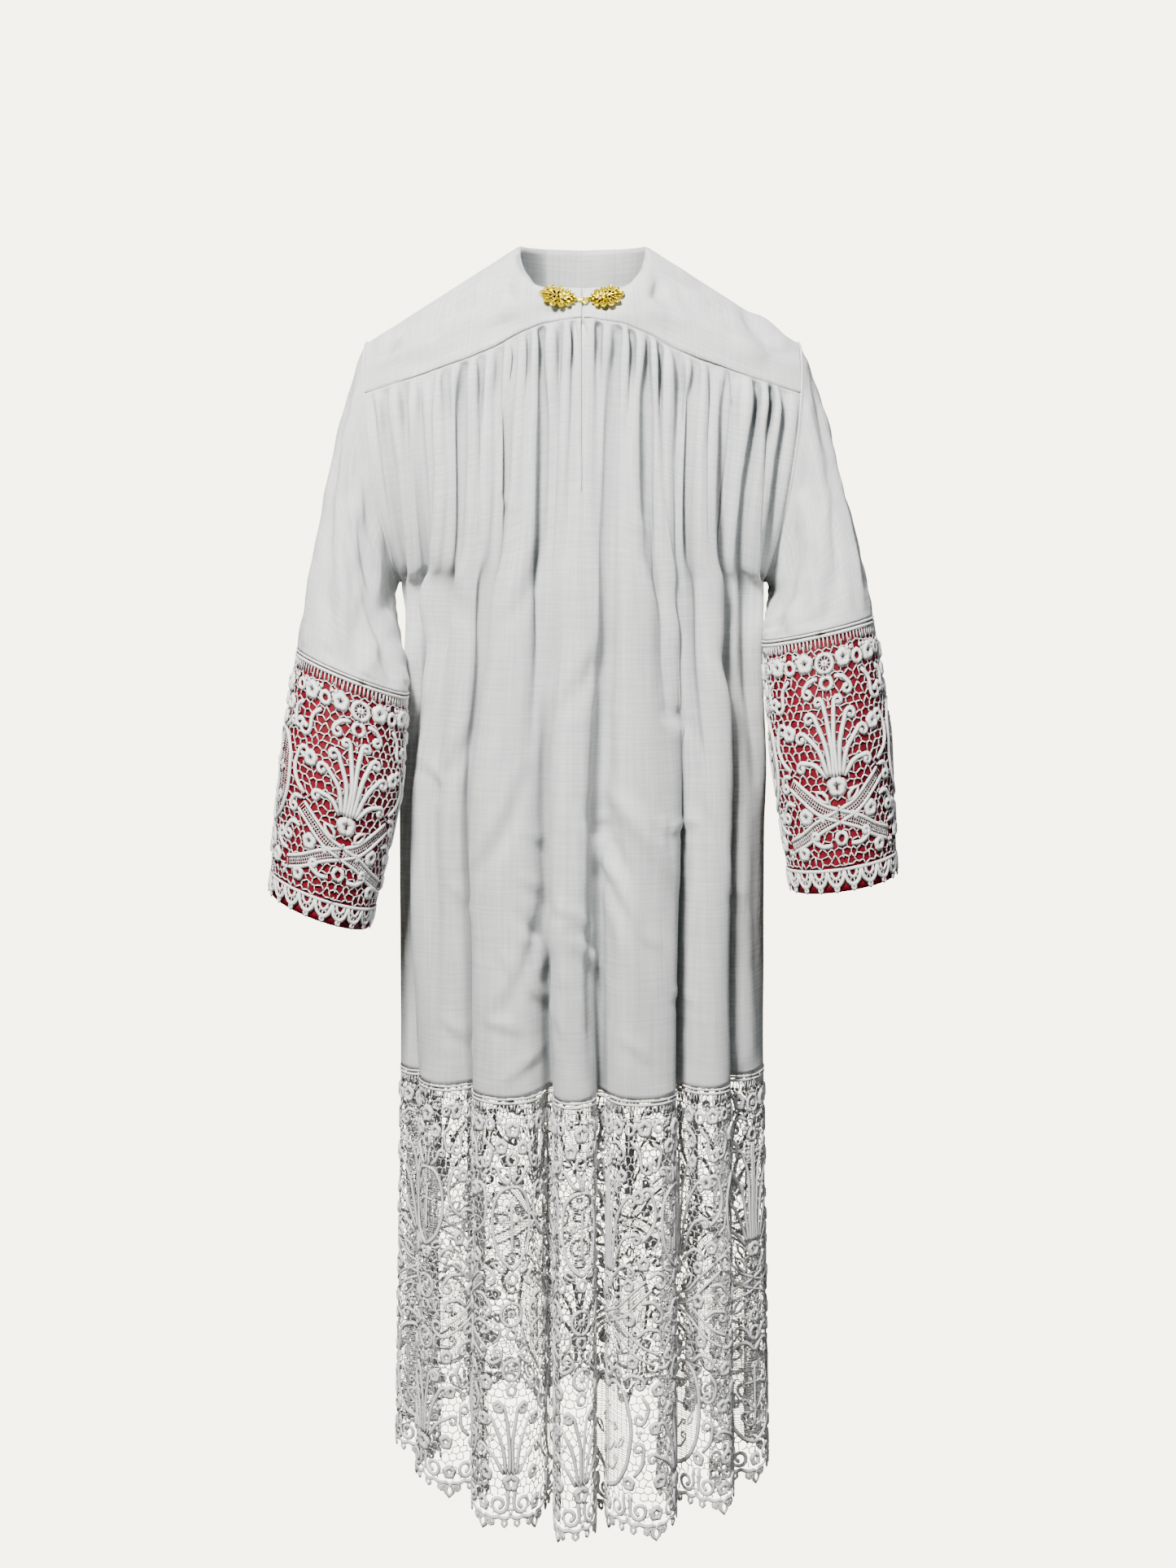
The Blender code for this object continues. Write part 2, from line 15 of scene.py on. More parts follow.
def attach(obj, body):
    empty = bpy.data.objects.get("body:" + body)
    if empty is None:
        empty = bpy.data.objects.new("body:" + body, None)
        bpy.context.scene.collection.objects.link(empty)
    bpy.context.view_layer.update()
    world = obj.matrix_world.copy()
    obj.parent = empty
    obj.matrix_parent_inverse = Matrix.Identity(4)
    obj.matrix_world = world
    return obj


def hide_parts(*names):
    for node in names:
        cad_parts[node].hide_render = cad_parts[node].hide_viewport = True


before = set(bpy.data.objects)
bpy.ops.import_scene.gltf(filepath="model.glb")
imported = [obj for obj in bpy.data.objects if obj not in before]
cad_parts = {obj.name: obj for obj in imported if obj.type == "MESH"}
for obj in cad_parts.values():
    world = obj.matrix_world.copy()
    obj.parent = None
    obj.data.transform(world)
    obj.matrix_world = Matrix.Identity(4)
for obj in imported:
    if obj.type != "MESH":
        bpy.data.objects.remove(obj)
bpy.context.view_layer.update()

BODY = "root"
CHANCE = np.random.default_rng(11)

# Sizes of the solid part, repeated here
CLOTH_WALL = 0.0015
SEAM_GAP = 0.0004
YOKE_SEAM_GAP = 0.0010
SHELL = 0.0006
RIDGE_GAP = 0.0012
SIDES = {"right": -1, "left": 1}
SHOULDER_X = 0.243
SHOULDER_Y = 0.005
ARM_TOP_DROP = 0.102
ARM_HEIGHT = 0.268
ARM_FRONT = 0.085
ARM_BACK = 0.090
ARM_LEAN = 0.035
ARM_LEAN_POWER = 1.6
ARM_GAP_TOP = 0.0012
ARM_GAP_UNDER = 0.0024
ARM_EDGE_POWER = 8
YOKE_CORNER = 58
BODY_SIZES = (
    # drop, half width, front depth, back depth, fold share
    (0.08, 0.240, 0.112, 0.104, 0.02),
    (0.17, 0.238, 0.128, 0.120, 0.05),
    (0.37, 0.205, 0.150, 0.134, 0.20),
    (0.45, 0.205, 0.156, 0.140, 0.27),
    (0.60, 0.212, 0.166, 0.148, 0.42),
    (0.93, 0.215, 0.188, 0.166, 0.70),
    (1.42, 0.226, 0.216, 0.192, 1.00),
)
SWING_TOP = 60
SWING_FULL = 90
FOLD_START_DROP = 0.10
FOLD_FULL_DROP = 0.60
FLOUNCE_DROP = 0.93
HEM_DROP = 1.415
HEM_RISE = (0.026, 0.006)
FRONT_VALLEYS = (
    # angle from the panel's middle, depth at the hem
    (-90, 0.030), (-68, 0.045), (-42, 0.062), (-12, 0.085),
    (6, 0.066), (36, 0.080), (57, 0.050), (90, 0.030),
)
BACK_VALLEYS = (
    (-90, 0.030), (-50, 0.058), (-17, 0.072), (17, 0.066), (50, 0.060), (90, 0.030),
)
FOLD_PROFILE = (
    # share of the fold's width, share of its height
    (0.03, 0.00), (0.10, 0.42), (0.22, 0.82), (0.40, 1.00),
    (0.60, 1.00), (0.78, 0.82), (0.90, 0.42), (0.97, 0.00),
)
FRONT_ROWS = (
    # armhole angle, drop at the middle, gather height
    (YOKE_CORNER, 0.090, 0.0),
    (66, 0.103, 0.0035),
    (86, 0.146, 0.0030),
    (112, 0.207, 0.0022),
    (138, 0.275, 0.0015),
    (160, 0.325, 0.0008),
    (180, 0.370, 0.0),
)
BACK_ROWS = (
    (YOKE_CORNER, 0.170, 0.0),
    (66, 0.184, 0.0035),
    (86, 0.218, 0.0030),
    (112, 0.264, 0.0020),
    (138, 0.312, 0.0012),
    (160, 0.345, 0.0006),
    (180, 0.370, 0.0),
)
LOWER_DROPS = (0.45, 0.60, 0.76, FLOUNCE_DROP)
FLOUNCE_ROWS = 5
SLIT_DROP = 0.275
SLIT_HALF = 0.001
SEAM_FALL = (
    # share of the half width, share of the fall
    (0.03, 0.0), (0.18, 0.075), (0.30, 0.23), (0.39, 0.385), (0.52, 0.552),
    (0.65, 0.678), (0.77, 0.80), (0.88, 0.897), (1.0, 1.0),
)
FRONT_YOKE_TOP = (
    # share of the seam, x, y, drop
    (0.00, SLIT_HALF, -0.0880, 0.055),
    (0.20, 0.050, -0.0790, 0.052),
    (0.30, 0.065, -0.042, 0.028),
    (0.40, 0.072, 0.004, -0.004),
    (1.00, SHOULDER_X, SHOULDER_Y, ARM_TOP_DROP),
)
BACK_YOKE_TOP = (
    (0.00, 0.000, 0.075, -0.012),
    (0.16, 0.046, 0.060, -0.011),
    (0.30, 0.072, 0.004, -0.004),
    (1.00, SHOULDER_X, SHOULDER_Y, ARM_TOP_DROP),
)
YOKE_ROWS = 3
YOKE_BULGE = 0.018
BULGE_START = 0.35
YOKE_END_POWER = 4
SLEEVE_START_TOP = (0.42, 0.0, -0.90)
SLEEVE_START_UNDER = (0.45, -0.15, -0.88)
SLEEVE_END = (0.12, -0.20, -0.97)
SLEEVE_FULLNESS = 0.70
CUFF_RINGS = {
    # share, centre x, centre y, centre drop, half width, half depth, tilt
    "right": (
        (0.0, 0.254, -0.090, 0.466, 0.060, 0.070, 0.025),
        (0.45, 0.266, -0.110, 0.580, 0.066, 0.072, 0.023),
        (1.0, 0.288, -0.130, 0.720, 0.055, 0.062, 0.021),
    ),
    "left": (
        (0.0, 0.260, -0.080, 0.420, 0.060, 0.070, 0.014),
        (0.45, 0.273, -0.105, 0.545, 0.066, 0.072, 0.012),
        (1.0, 0.286, -0.128, 0.690, 0.058, 0.062, 0.010),
    ),
}
CUFF_CLEAR = 0.0018
LINING_BEYOND = 0.006


def column(table, drop, place):
    """Value of one column of a table whose first column is the drop or share."""
    return np.interp(drop, [row[0] for row in table], [row[place] for row in table])


def armhole(angle, side):
    """Point of the armhole: 0 degrees on top, 90 in front, -90 behind."""
    turn = math.radians(angle)
    below = 0.5 * ARM_HEIGHT * (1.0 - math.cos(turn))
    reach = ARM_FRONT if angle > 0 else ARM_BACK
    x = SHOULDER_X - ARM_LEAN * (below / ARM_HEIGHT) ** ARM_LEAN_POWER
    y = SHOULDER_Y * math.cos(0.5 * turn) - reach * math.sin(turn)
    return np.array((side * x, y, -ARM_TOP_DROP - below))


def fold_columns(valleys):
    """Angle, valley depth and height share of each column across a panel."""
    first, last = valleys[0], valleys[-1]
    columns = [(first[0], first[1], 0.0)]
    for (start, depth_a), (end, depth_b) in zip(valleys, valleys[1:]):
        for share, height in FOLD_PROFILE:
            depth = depth_a if share < 0.5 else depth_b
            columns.append((start + share * (end - start), depth, height))
    columns.append((last[0], last[1], 0.0))
    return np.array(columns)


def even_shares(count):
    """Shares of the half width for evenly spaced columns with the slit between."""
    half = count // 2
    slit = SLIT_HALF / SHOULDER_X
    right = [-(slit + (1.0 - slit) * (half - 1 - step) / (half - 1)) for step in range(half)]
    return np.array(right + [-share for share in reversed(right)])


def panel_row(front, angle, drop, gather):
    """Points of one row of a panel, from -X to +X."""
    columns = fold_columns(FRONT_VALLEYS if front else BACK_VALLEYS)
    shares = even_shares(len(columns))
    facing = -1.0 if front else 1.0
    depth = column(BODY_SIZES, drop, 2 if front else 3)
    if angle is None:
        width = column(BODY_SIZES, drop, 1)
        end_y = 0.5 * SEAM_GAP
        end_drop = drop
        swing = math.radians(SWING_FULL)
    else:
        corner = armhole(angle if front else -angle, 1)
        width = corner[0]
        end_y = max(facing * corner[1], 0.5 * SEAM_GAP)
        end_drop = -corner[2]
        opened = (angle - YOKE_CORNER) / (180 - YOKE_CORNER)
        swing = math.radians(SWING_TOP + (SWING_FULL - SWING_TOP) * opened)
    folded = np.interp(drop, (FOLD_START_DROP, FOLD_FULL_DROP), (0.0, 1.0))
    even = np.arcsin(shares * math.sin(swing))
    folded = np.full(len(columns), folded)
    if front and drop <= SLIT_DROP:
        middle = len(columns) // 2
        folded[middle - 1:middle + 1] = 0.0
    turn = (1.0 - folded) * even + folded * columns[:, 0] / SWING_FULL * swing
    x = width * np.sin(turn) / math.sin(swing)
    reach = (np.cos(turn) - math.cos(swing)) / (1.0 - math.cos(swing))
    y = facing * (end_y + (depth - end_y) * reach)
    fall = np.interp(np.abs(x) / width, [row[0] for row in SEAM_FALL], [row[1] for row in SEAM_FALL])
    z = -(drop + (end_drop - drop) * fall)
    normal_x = depth * np.sin(turn)
    normal_y = facing * width * np.cos(turn)
    length = np.hypot(normal_x, normal_y)
    share = column(BODY_SIZES, drop, 4)
    sink = columns[:, 1] * share * (1.0 - columns[:, 2])
    if angle is not None:
        sink = sink * (1.0 - (np.abs(x) / width) ** ARM_EDGE_POWER)
    wave = gather * np.where(np.arange(len(columns)) % 2 == 0, 1.0, -1.0)
    wave[[0, -1]] = 0.0
    move = wave - sink
    x = x + move * normal_x / length
    y = y + move * normal_y / length
    return np.stack((x, y, z), axis=1)


def body_cage(front):
    """Rows of a body panel, as in the solid."""
    upper = FRONT_ROWS if front else BACK_ROWS
    rows = list(upper) + [(None, drop, 0.0) for drop in LOWER_DROPS]
    return np.array([panel_row(front, *row) for row in rows])


def flounce_cage(front):
    """Rows of a flounce from its heading to the level of the hem."""
    top = FLOUNCE_DROP + SEAM_GAP
    rows = []
    for row in range(FLOUNCE_ROWS + 1):
        line = panel_row(front, None, top + (HEM_DROP - top) * row / FLOUNCE_ROWS, 0.0)
        side = np.clip(line[:, 0] / line[-1, 0], -1.0, 1.0)
        rise = np.where(side < 0, HEM_RISE[0], HEM_RISE[1]) * side * side
        line[:, 2] += rise * row / FLOUNCE_ROWS
        rows.append(line)
    return np.array(rows)


def yoke_cage(front, side):
    """Rows of a yoke half, from the neck and shoulder edge to the gathered seam."""
    lift = np.array((0.0, 0.0, YOKE_SEAM_GAP))
    seam = panel_row(front, *(FRONT_ROWS if front else BACK_ROWS)[0]) + lift
    half = len(seam) // 2
    bottom = seam[half:] if side > 0 else seam[:half][::-1]
    table = FRONT_YOKE_TOP if front else BACK_YOKE_TOP
    corner_angle = YOKE_CORNER if front else -YOKE_CORNER
    facing = -1.0 if front else 1.0
    count = len(bottom)
    grid = np.zeros((YOKE_ROWS + 1, count, 3))
    for place in range(count):
        share = place / (count - 1)
        ended = share ** YOKE_END_POWER
        top = np.array([column(table, share, part) for part in (1, 2, 3)])
        top = np.array((side * top[0], top[1] + facing * 0.5 * RIDGE_GAP, -top[2]))
        for row in range(YOKE_ROWS + 1):
            down = row / YOKE_ROWS
            point = top + (bottom[place] - top) * down
            lift = YOKE_BULGE * math.sin(math.pi * down) * min(1.0, share / BULGE_START)
            bulge = np.array((0.0, facing * lift, lift))
            ring = armhole(corner_angle * down, side)
            if place == count - 1:
                ring[1] += facing * 0.5 * RIDGE_GAP * (1.0 - down)
                grid[row, place] = ring + (bottom[-1] - armhole(corner_angle, side)) * down
            else:
                straight = np.array(armhole(0, side)) * (1 - down) + bottom[-1] * down
                grid[row, place] = point + bulge * (1 - ended) + (ring - straight) * ended
    return grid


def cuff_point(side_name, share, angle, inset=0.0):
    """Point of a cuff: 0 degrees outside the arm, 90 in front, 180 inside."""
    turn = math.radians(angle)
    centre_x, centre_y, drop, wide, deep, tilt = (
        column(CUFF_RINGS[side_name], share, part) for part in range(1, 7)
    )
    x = centre_x + (wide - inset) * math.cos(turn)
    y = centre_y - (deep - inset) * math.sin(turn)
    z = -(drop - tilt * math.cos(turn))
    return np.array((SIDES[side_name] * x, y, z))


def sleeve_point(side_name, angle, down):
    """Point of a sleeve between the armhole and the cuff seam."""
    side = SIDES[side_name]
    turn = math.radians(angle)
    over = 0.5 * (1.0 + math.cos(turn))
    gap = ARM_GAP_TOP * over + ARM_GAP_UNDER * (1.0 - over)
    start = armhole(angle, side) + np.array((side * gap, 0.0, 0.0))
    end = cuff_point(side_name, 0.0, angle)
    length = np.linalg.norm(end - start) * SLEEVE_FULLNESS
    top = np.array(SLEEVE_START_TOP)
    under = np.array(SLEEVE_START_UNDER)
    leave = (top * over + under * (1.0 - over)) * (side, 1.0, 1.0) * length
    arrive = np.array(SLEEVE_END) * (side, 1.0, 1.0) * length
    square = down * down
    cube = square * down
    return (
        start * (2 * cube - 3 * square + 1)
        + leave * (cube - 2 * square + down)
        + end * (3 * square - 2 * cube)
        + arrive * (cube - square)
    )


# Fine surfaces

def knots_along(points):
    """Length along a line to each of its points."""
    return np.concatenate(([0.0], np.cumsum(np.linalg.norm(np.diff(points, axis=0), axis=1))))


def knots_down(grid):
    """Mean length from the first row of a grid to each row."""
    steps = np.linalg.norm(np.diff(grid, axis=0), axis=2).mean(axis=1)
    return np.concatenate(([0.0], np.cumsum(steps)))


def spline(points, knots, wanted):
    """Smooth cubic through rows of points, with slopes from both neighbours."""
    gap = np.diff(knots)[:, None, None]
    rise = np.diff(points, axis=0) / gap
    slope = np.empty_like(points)
    slope[0] = rise[0]
    slope[-1] = rise[-1]
    slope[1:-1] = (rise[:-1] * gap[1:] + rise[1:] * gap[:-1]) / (gap[1:] + gap[:-1])
    place = np.clip(np.searchsorted(knots, wanted, side="right") - 1, 0, len(knots) - 2)
    span = np.diff(knots)[place][:, None, None]
    part = (wanted - knots[place])[:, None, None] / span
    square = part * part
    cube = square * part
    return (
        points[place] * (2 * cube - 3 * square + 1)
        + slope[place] * span * (cube - 2 * square + part)
        + points[place + 1] * (3 * square - 2 * cube)
        + slope[place + 1] * span * (cube - square)
    )


def finer_rows(cage, rows, crowd=1.0):
    """More rows through a cage; crowd above 1 packs them near the top."""
    down = knots_down(cage)
    return spline(cage, down, down[-1] * np.linspace(0.0, 1.0, rows) ** crowd)


def finer_columns(cage, knots, wanted):
    """Columns of a cage at the wanted lengths across it."""
    return spline(cage.transpose(1, 0, 2), knots, wanted).transpose(1, 0, 2)


def normals_of(grid, outward, closed=False):
    """Unit normal at each point of a grid, turned to the side of an outward point."""
    if closed:
        padded = np.concatenate((grid[:, -1:], grid, grid[:, :1]), axis=1)
        across = (padded[:, 2:] - padded[:, :-2]) / 2
    else:
        across = np.gradient(grid, axis=1)
    normal = np.cross(across, np.gradient(grid, axis=0))
    normal /= np.maximum(np.linalg.norm(normal, axis=2, keepdims=True), 1e-12)
    if np.sum(normal * outward) < 0:
        normal = -normal
    return normal


def away_from_axis(grid):
    """Direction away from the upright axis, used to tell the outside of a wall."""
    away = grid.copy()
    away[..., 2] = 0.02
    return away


def smooth_noise(first, second, longest, shortest, count):
    """Soft uneven relief from waves of random length, direction and phase."""
    relief = np.zeros_like(first)
    for _ in range(count):
        length = math.exp(CHANCE.uniform(math.log(shortest), math.log(longest)))
        turn = CHANCE.uniform(0, 2 * math.pi)
        phase = CHANCE.uniform(0, 2 * math.pi)
        along = first * math.cos(turn) + second * math.sin(turn)
        relief += np.sin(2 * math.pi * along / length + phase) * (length / longest) ** 0.7
    return relief / math.sqrt(count)


def trough(x, z, start, end, width, depth):
    """Soft crease along a line from start to end, fading at both ends."""
    start = np.array(start)
    line = np.array(end) - start
    reach = np.dot(line, line)
    part = ((x - start[0]) * line[0] + (z - start[1]) * line[1]) / reach
    bend = 0.06 * math.sqrt(reach) * np.sin(math.pi * part)
    off = ((x - start[0]) * line[1] - (z - start[1]) * line[0]) / math.sqrt(reach) + bend
    fade = np.clip(1.0 - (2 * part - 1.0) ** 2, 0.0, 1.0)
    across = off / width
    profile = np.exp(-across ** 2) - 0.55 * np.exp(-(across - 1.6) ** 2)
    return -depth * profile * fade ** 1.5


def turn_outwards(mesh):
    """Turn a mesh's faces outwards."""
    shape = bmesh.new()
    shape.from_mesh(mesh)
    bmesh.ops.recalc_face_normals(shape, faces=shape.faces)
    shape.to_mesh(mesh)
    shape.free()


def placed(name, data):
    """New object in the scene."""
    made = bpy.data.objects.new(name, data)
    bpy.context.scene.collection.objects.link(made)
    return made


def finished(name, mesh):
    """Piece of the garment from its mesh."""
    mesh.shade_smooth()
    piece = placed(name, mesh)
    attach(piece, BODY)
    return piece


def add_grid(name, grid, material, closed=False, missing=None, ring=False):
    """Thin cloth shell on a grid, with a UV map in metres.

    A ring closes both ways and has no wall.
    """
    rows, columns = grid.shape[:2]
    index = np.arange(rows * columns).reshape(rows, columns)
    if closed:
        index = np.concatenate((index, index[:, :1]), axis=1)
    if ring:
        index = np.concatenate((index, index[:1]), axis=0)
    quads = np.stack((index[:-1, :-1], index[1:, :-1], index[1:, 1:], index[:-1, 1:]), axis=-1)
    u_steps = np.linalg.norm(np.diff(grid, axis=1), axis=2).mean(axis=0)
    u_line = np.concatenate(([0.0], np.cumsum(u_steps)))
    if closed:
        u_line = np.append(u_line, u_line[-1] + u_steps.mean())
    v_line = -knots_down(grid)
    if ring:
        v_line = np.append(v_line, 2 * v_line[-1] - v_line[-2])
    u_grid, v_grid = np.meshgrid(u_line, v_line)
    flat = np.stack((u_grid, v_grid), axis=-1)
    uv = np.stack((flat[:-1, :-1], flat[1:, :-1], flat[1:, 1:], flat[:-1, 1:]), axis=2)
    keep = np.ones(quads.shape[:2], bool) if missing is None else ~missing
    mesh = bpy.data.meshes.new(name)
    mesh.from_pydata(grid.reshape(-1, 3).tolist(), [], quads[keep].tolist())
    layer = mesh.uv_layers.new(name="weave")
    layer.data.foreach_set("uv", uv[keep].reshape(-1))
    mesh.materials.append(material)
    if ring:
        turn_outwards(mesh)
    piece = finished(name, mesh)
    if not ring:
        solid = piece.modifiers.new("wall", "SOLIDIFY")
        solid.thickness = SHELL
        solid.offset = 0.0
    return piece


# Materials

BLACK = (0.0, 0.0, 0.0)
WHITE = (1.0, 1.0, 1.0)
# Painted shade in hollows: the occlusion level of full shade, then for cloth and for cotton the shade colour,
# reach, level of no shade and whether only the piece itself casts it
PAINTED_SHADE_DEEP = 0.22
CLOTH_PAINTED_SHADE = ((0.44, 0.456, 0.466), 0.016, 0.97, True)
COTTON_PAINTED_SHADE = ((0.22, 0.22, 0.22), 0.005, 0.80, False)
THREAD_WAVE = {"Scale": 0.5, "Distortion": 1.2, "Detail": 1.0, "Detail Scale": 0.4}
SLUBS = (
    # stretch along u, v and w, place of the nodes
    ((14.0, 420.0, 1.0), -250), ((300.0, 10.0, 1.0), -500),
)


def feed(tree, target, sockets):
    """Give each socket a value, or a link from another node's output."""
    for key, value in sockets.items():
        if isinstance(value, bpy.types.NodeSocket):
            tree.links.new(value, target.inputs[key])
        else:
            target.inputs[key].default_value = value


def node(tree, kind, place, sockets=None, **settings):
    """A node with its settings and what feeds its sockets."""
    made = tree.nodes.new(kind)
    made.location = place
    for key, value in settings.items():
        setattr(made, key, value)
    feed(tree, made, sockets or {})
    return made


def reckon(tree, operation, place, *values):
    """Result of a sum on values or sockets."""
    made = node(tree, "ShaderNodeMath", place, dict(enumerate(values)), operation=operation)
    return made.outputs["Value"]


def opaque(colour, share=1.0):
    """Colour with its alpha, darkened to a share."""
    return (*[share * part for part in colour], 1.0)


def mixed(tree, place, share, first, second, **settings):
    """Mix of two colours."""
    sockets = {"Factor": share, 6: first, 7: second}
    return node(tree, "ShaderNodeMix", place, sockets, data_type="RGBA", **settings).outputs[2]


def faded(tree, source, low, high, place):
    """Soft step of a value between two limits."""
    sockets = {"From Min": low, "From Max": high, "Value": source}
    step = node(tree, "ShaderNodeMapRange", place, sockets, interpolation_type="SMOOTHERSTEP")
    return step.outputs["Result"]


def grained(tree, where, scale, detail, place):
    """Fine noise."""
    sockets = {"Scale": scale, "Detail": detail, "Vector": where}
    return node(tree, "ShaderNodeTexNoise", place, sockets).outputs["Fac"]


def raised(tree, height, strength, distance):
    """Normals of a surface raised by a height."""
    sockets = {"Strength": strength, "Distance": distance, "Height": height}
    return node(tree, "ShaderNodeBump", (-350, -200), sockets).outputs["Normal"]


def painted_shade_mask(tree, distance, low, high, samples, local):
    """Mask for painted shade: a share that grows from 0 in a hollow to 1 on an open surface."""
    light = node(tree, "ShaderNodeAmbientOcclusion", (-900, 400), {"Distance": distance},
                 samples=samples, only_local=local)
    return faded(tree, light.outputs["AO"], low, high, (-700, 400))


def painted_hollow_shade(tree, colour, shade, distance, clear, local):
    """Colour darkened by painted shade where the surface is hollow."""
    share = painted_shade_mask(tree, distance, PAINTED_SHADE_DEEP, clear, 4, local)
    level = mixed(tree, (-450, 400), share, opaque(shade), opaque(WHITE))
    return mixed(tree, (-150, 250), 1.0, colour, level, blend_type="MULTIPLY")


def weave_group():
    """Plain weave with slubs: colour share and height from a UV map in metres."""
    group = bpy.data.node_groups.new("plain_weave", "ShaderNodeTree")
    for name, way, kind in (
        ("Vector", "INPUT", "Vector"), ("Threads", "INPUT", "Float"), ("Slubs", "INPUT", "Float"),
        ("Shade", "OUTPUT", "Float"), ("Height", "OUTPUT", "Float"),
    ):
        group.interface.new_socket(name=name, in_out=way, socket_type="NodeSocket" + kind)
    given = node(group, "NodeGroupInput", (-900, 0)).outputs
    scaled = node(group, "ShaderNodeVectorMath", (-700, 150),
                  {0: given["Vector"], "Scale": given["Threads"]}, operation="SCALE")
    threads, slubs = [], []
    for direction, place in (("X", 200), ("Y", 0)):
        wave = node(group, "ShaderNodeTexWave", (-450, place),
                    {**THREAD_WAVE, "Vector": scaled.outputs[0]},
                    wave_type="BANDS", bands_direction=direction)
        threads.append(wave.outputs["Fac"])
    for stretch, place in SLUBS:
        drawn = node(group, "ShaderNodeMapping", (-700, place),
                     {"Scale": stretch, "Vector": given["Vector"]})
        slubs.append(grained(group, drawn.outputs["Vector"], 1.0, 3.0, (-450, place)))
    both = reckon(group, "ADD", (-200, -350), *slubs)
    height = reckon(group, "ADD", (250, 50), reckon(group, "MULTIPLY", (-200, 100), *threads),
                    reckon(group, "MULTIPLY", (0, -300), both, given["Slubs"]))
    shade = node(group, "ShaderNodeMapRange", (250, -250),
                 {"From Min": 0.78, "From Max": 1.22, "Value": both})
    node(group, "NodeGroupOutput", (700, 0), {"Height": height, "Shade": shade.outputs["Result"]})
    return group


def new_material(name):
    """Material with its node tree and its shader."""
    material = bpy.data.materials.new(name)
    material.use_nodes = True
    return material, material.node_tree, material.node_tree.nodes["Principled BSDF"]


def cloth_material(name, weave, dark, light, roughness, threads, slubs, bump, sheen=0.0):
    """Woven cloth that follows a piece's own UV map."""
    material, tree, shader = new_material(name)
    where = node(tree, "ShaderNodeUVMap", (-1100, 0), uv_map="weave")
    woven = node(tree, "ShaderNodeGroup", (-650, 0),
                 {"Threads": threads, "Slubs": slubs, "Vector": where.outputs["UV"]}, node_tree=weave)
    tint = mixed(tree, (-350, 150), woven.outputs["Shade"], opaque(dark), opaque(light))
    feed(tree, shader, {
        # Base colour darkened by painted shade in the folds, creases and gathers
        "Base Color": painted_hollow_shade(tree, tint, *CLOTH_PAINTED_SHADE),
        "Normal": raised(tree, woven.outputs["Height"], bump, 0.0003),
        "Roughness": roughness, "Specular IOR Level": 0.2,
        "Sheen Weight": sheen, "Sheen Roughness": 0.4,
    })
    return material


def cotton_material(name, colour, grain, bump):
    """Matte twisted cotton for the raised lace cords."""
    material, tree, shader = new_material(name)
    where = node(tree, "ShaderNodeTexCoord", (-1100, 0))
    fine = grained(tree, where.outputs["Object"], grain, 4.0, (-650, 0))
    tint = mixed(tree, (-350, 150), fine, opaque(colour, 0.93), opaque(colour))
    feed(tree, shader, {
        # Base colour darkened by painted shade, most on the ground threads between the raised cords
        "Base Color": painted_hollow_shade(tree, tint, *COTTON_PAINTED_SHADE),
        "Normal": raised(tree, fine, bump, 0.0004), "Roughness": 0.85,
    })
    return material


def stage_material(name, colour, glow):
    """Matte paper, evenly bright from its front and clear from its back."""
    material, tree, shader = new_material(name)
    side = node(tree, "ShaderNodeNewGeometry", (-300, -250))
    seen = node(tree, "ShaderNodeLightPath", (-300, 350)).outputs["Is Camera Ray"]
    feed(tree, shader, {
        "Emission Color": mixed(tree, (150, 100), seen, opaque(BLACK), opaque(colour)),
        "Base Color": opaque(colour, 0.04), "Emission Strength": glow,
        "Roughness": 0.95, "Specular IOR Level": 0.1,
    })
    behind = reckon(tree, "MULTIPLY", (350, -250), side.outputs["Backfacing"], seen)
    clear = node(tree, "ShaderNodeBsdfTransparent", (350, -450))
    either = node(tree, "ShaderNodeMixShader", (600, 0),
                  {0: behind, 1: shader.outputs["BSDF"], 2: clear.outputs["BSDF"]})
    feed(tree, tree.nodes["Material Output"], {"Surface": either.outputs["Shader"]})
    return material


def gilt_material(name):
    """Bright cast gilt, with painted shade that turns its hollows dark brown."""
    material, tree, shader = new_material(name)
    where = node(tree, "ShaderNodeTexCoord", (-1100, 0))
    grain = grained(tree, where.outputs["Object"], 900.0, 3.0, (-900, -100))
    share = painted_shade_mask(tree, 0.003, 0.30, 0.90, 6, True)
    feed(tree, shader, {
        # Painted shade: dark brown where the cast is hollow, bright gold where it is open
        "Base Color": mixed(tree, (-400, 200), share, (0.16, 0.085, 0.001, 1.0), (0.88, 0.70, 0.010, 1.0)),
        "Normal": raised(tree, grain, 0.4, 0.0004),
        "Metallic": 1.0, "Roughness": 0.19,
    })
    return material


# Plain cloth

GATHERS = (
    # share across the panel, width, depth, length
    (0.035, 0.006, 0.0022, 0.050), (0.082, 0.007, 0.0028, 0.085), (0.127, 0.005, 0.0020, 0.038),
    (0.158, 0.006, 0.0030, 0.120), (0.205, 0.008, 0.0026, 0.070), (0.247, 0.005, 0.0022, 0.045),
    (0.281, 0.007, 0.0032, 0.150), (0.326, 0.006, 0.0024, 0.062), (0.362, 0.005, 0.0020, 0.034),
    (0.398, 0.007, 0.0030, 0.105), (0.437, 0.006, 0.0022, 0.052), (0.468, 0.005, 0.0026, 0.090),
    (0.531, 0.005, 0.0024, 0.070), (0.566, 0.006, 0.0030, 0.125), (0.604, 0.007, 0.0022, 0.048),
    (0.648, 0.005, 0.0020, 0.036), (0.683, 0.006, 0.0030, 0.095), (0.722, 0.008, 0.0026, 0.140),
    (0.768, 0.005, 0.0024, 0.055), (0.806, 0.006, 0.0020, 0.040), (0.842, 0.007, 0.0030, 0.110),
    (0.889, 0.006, 0.0022, 0.064), (0.931, 0.005, 0.0026, 0.082), (0.968, 0.006, 0.0018, 0.044),
)
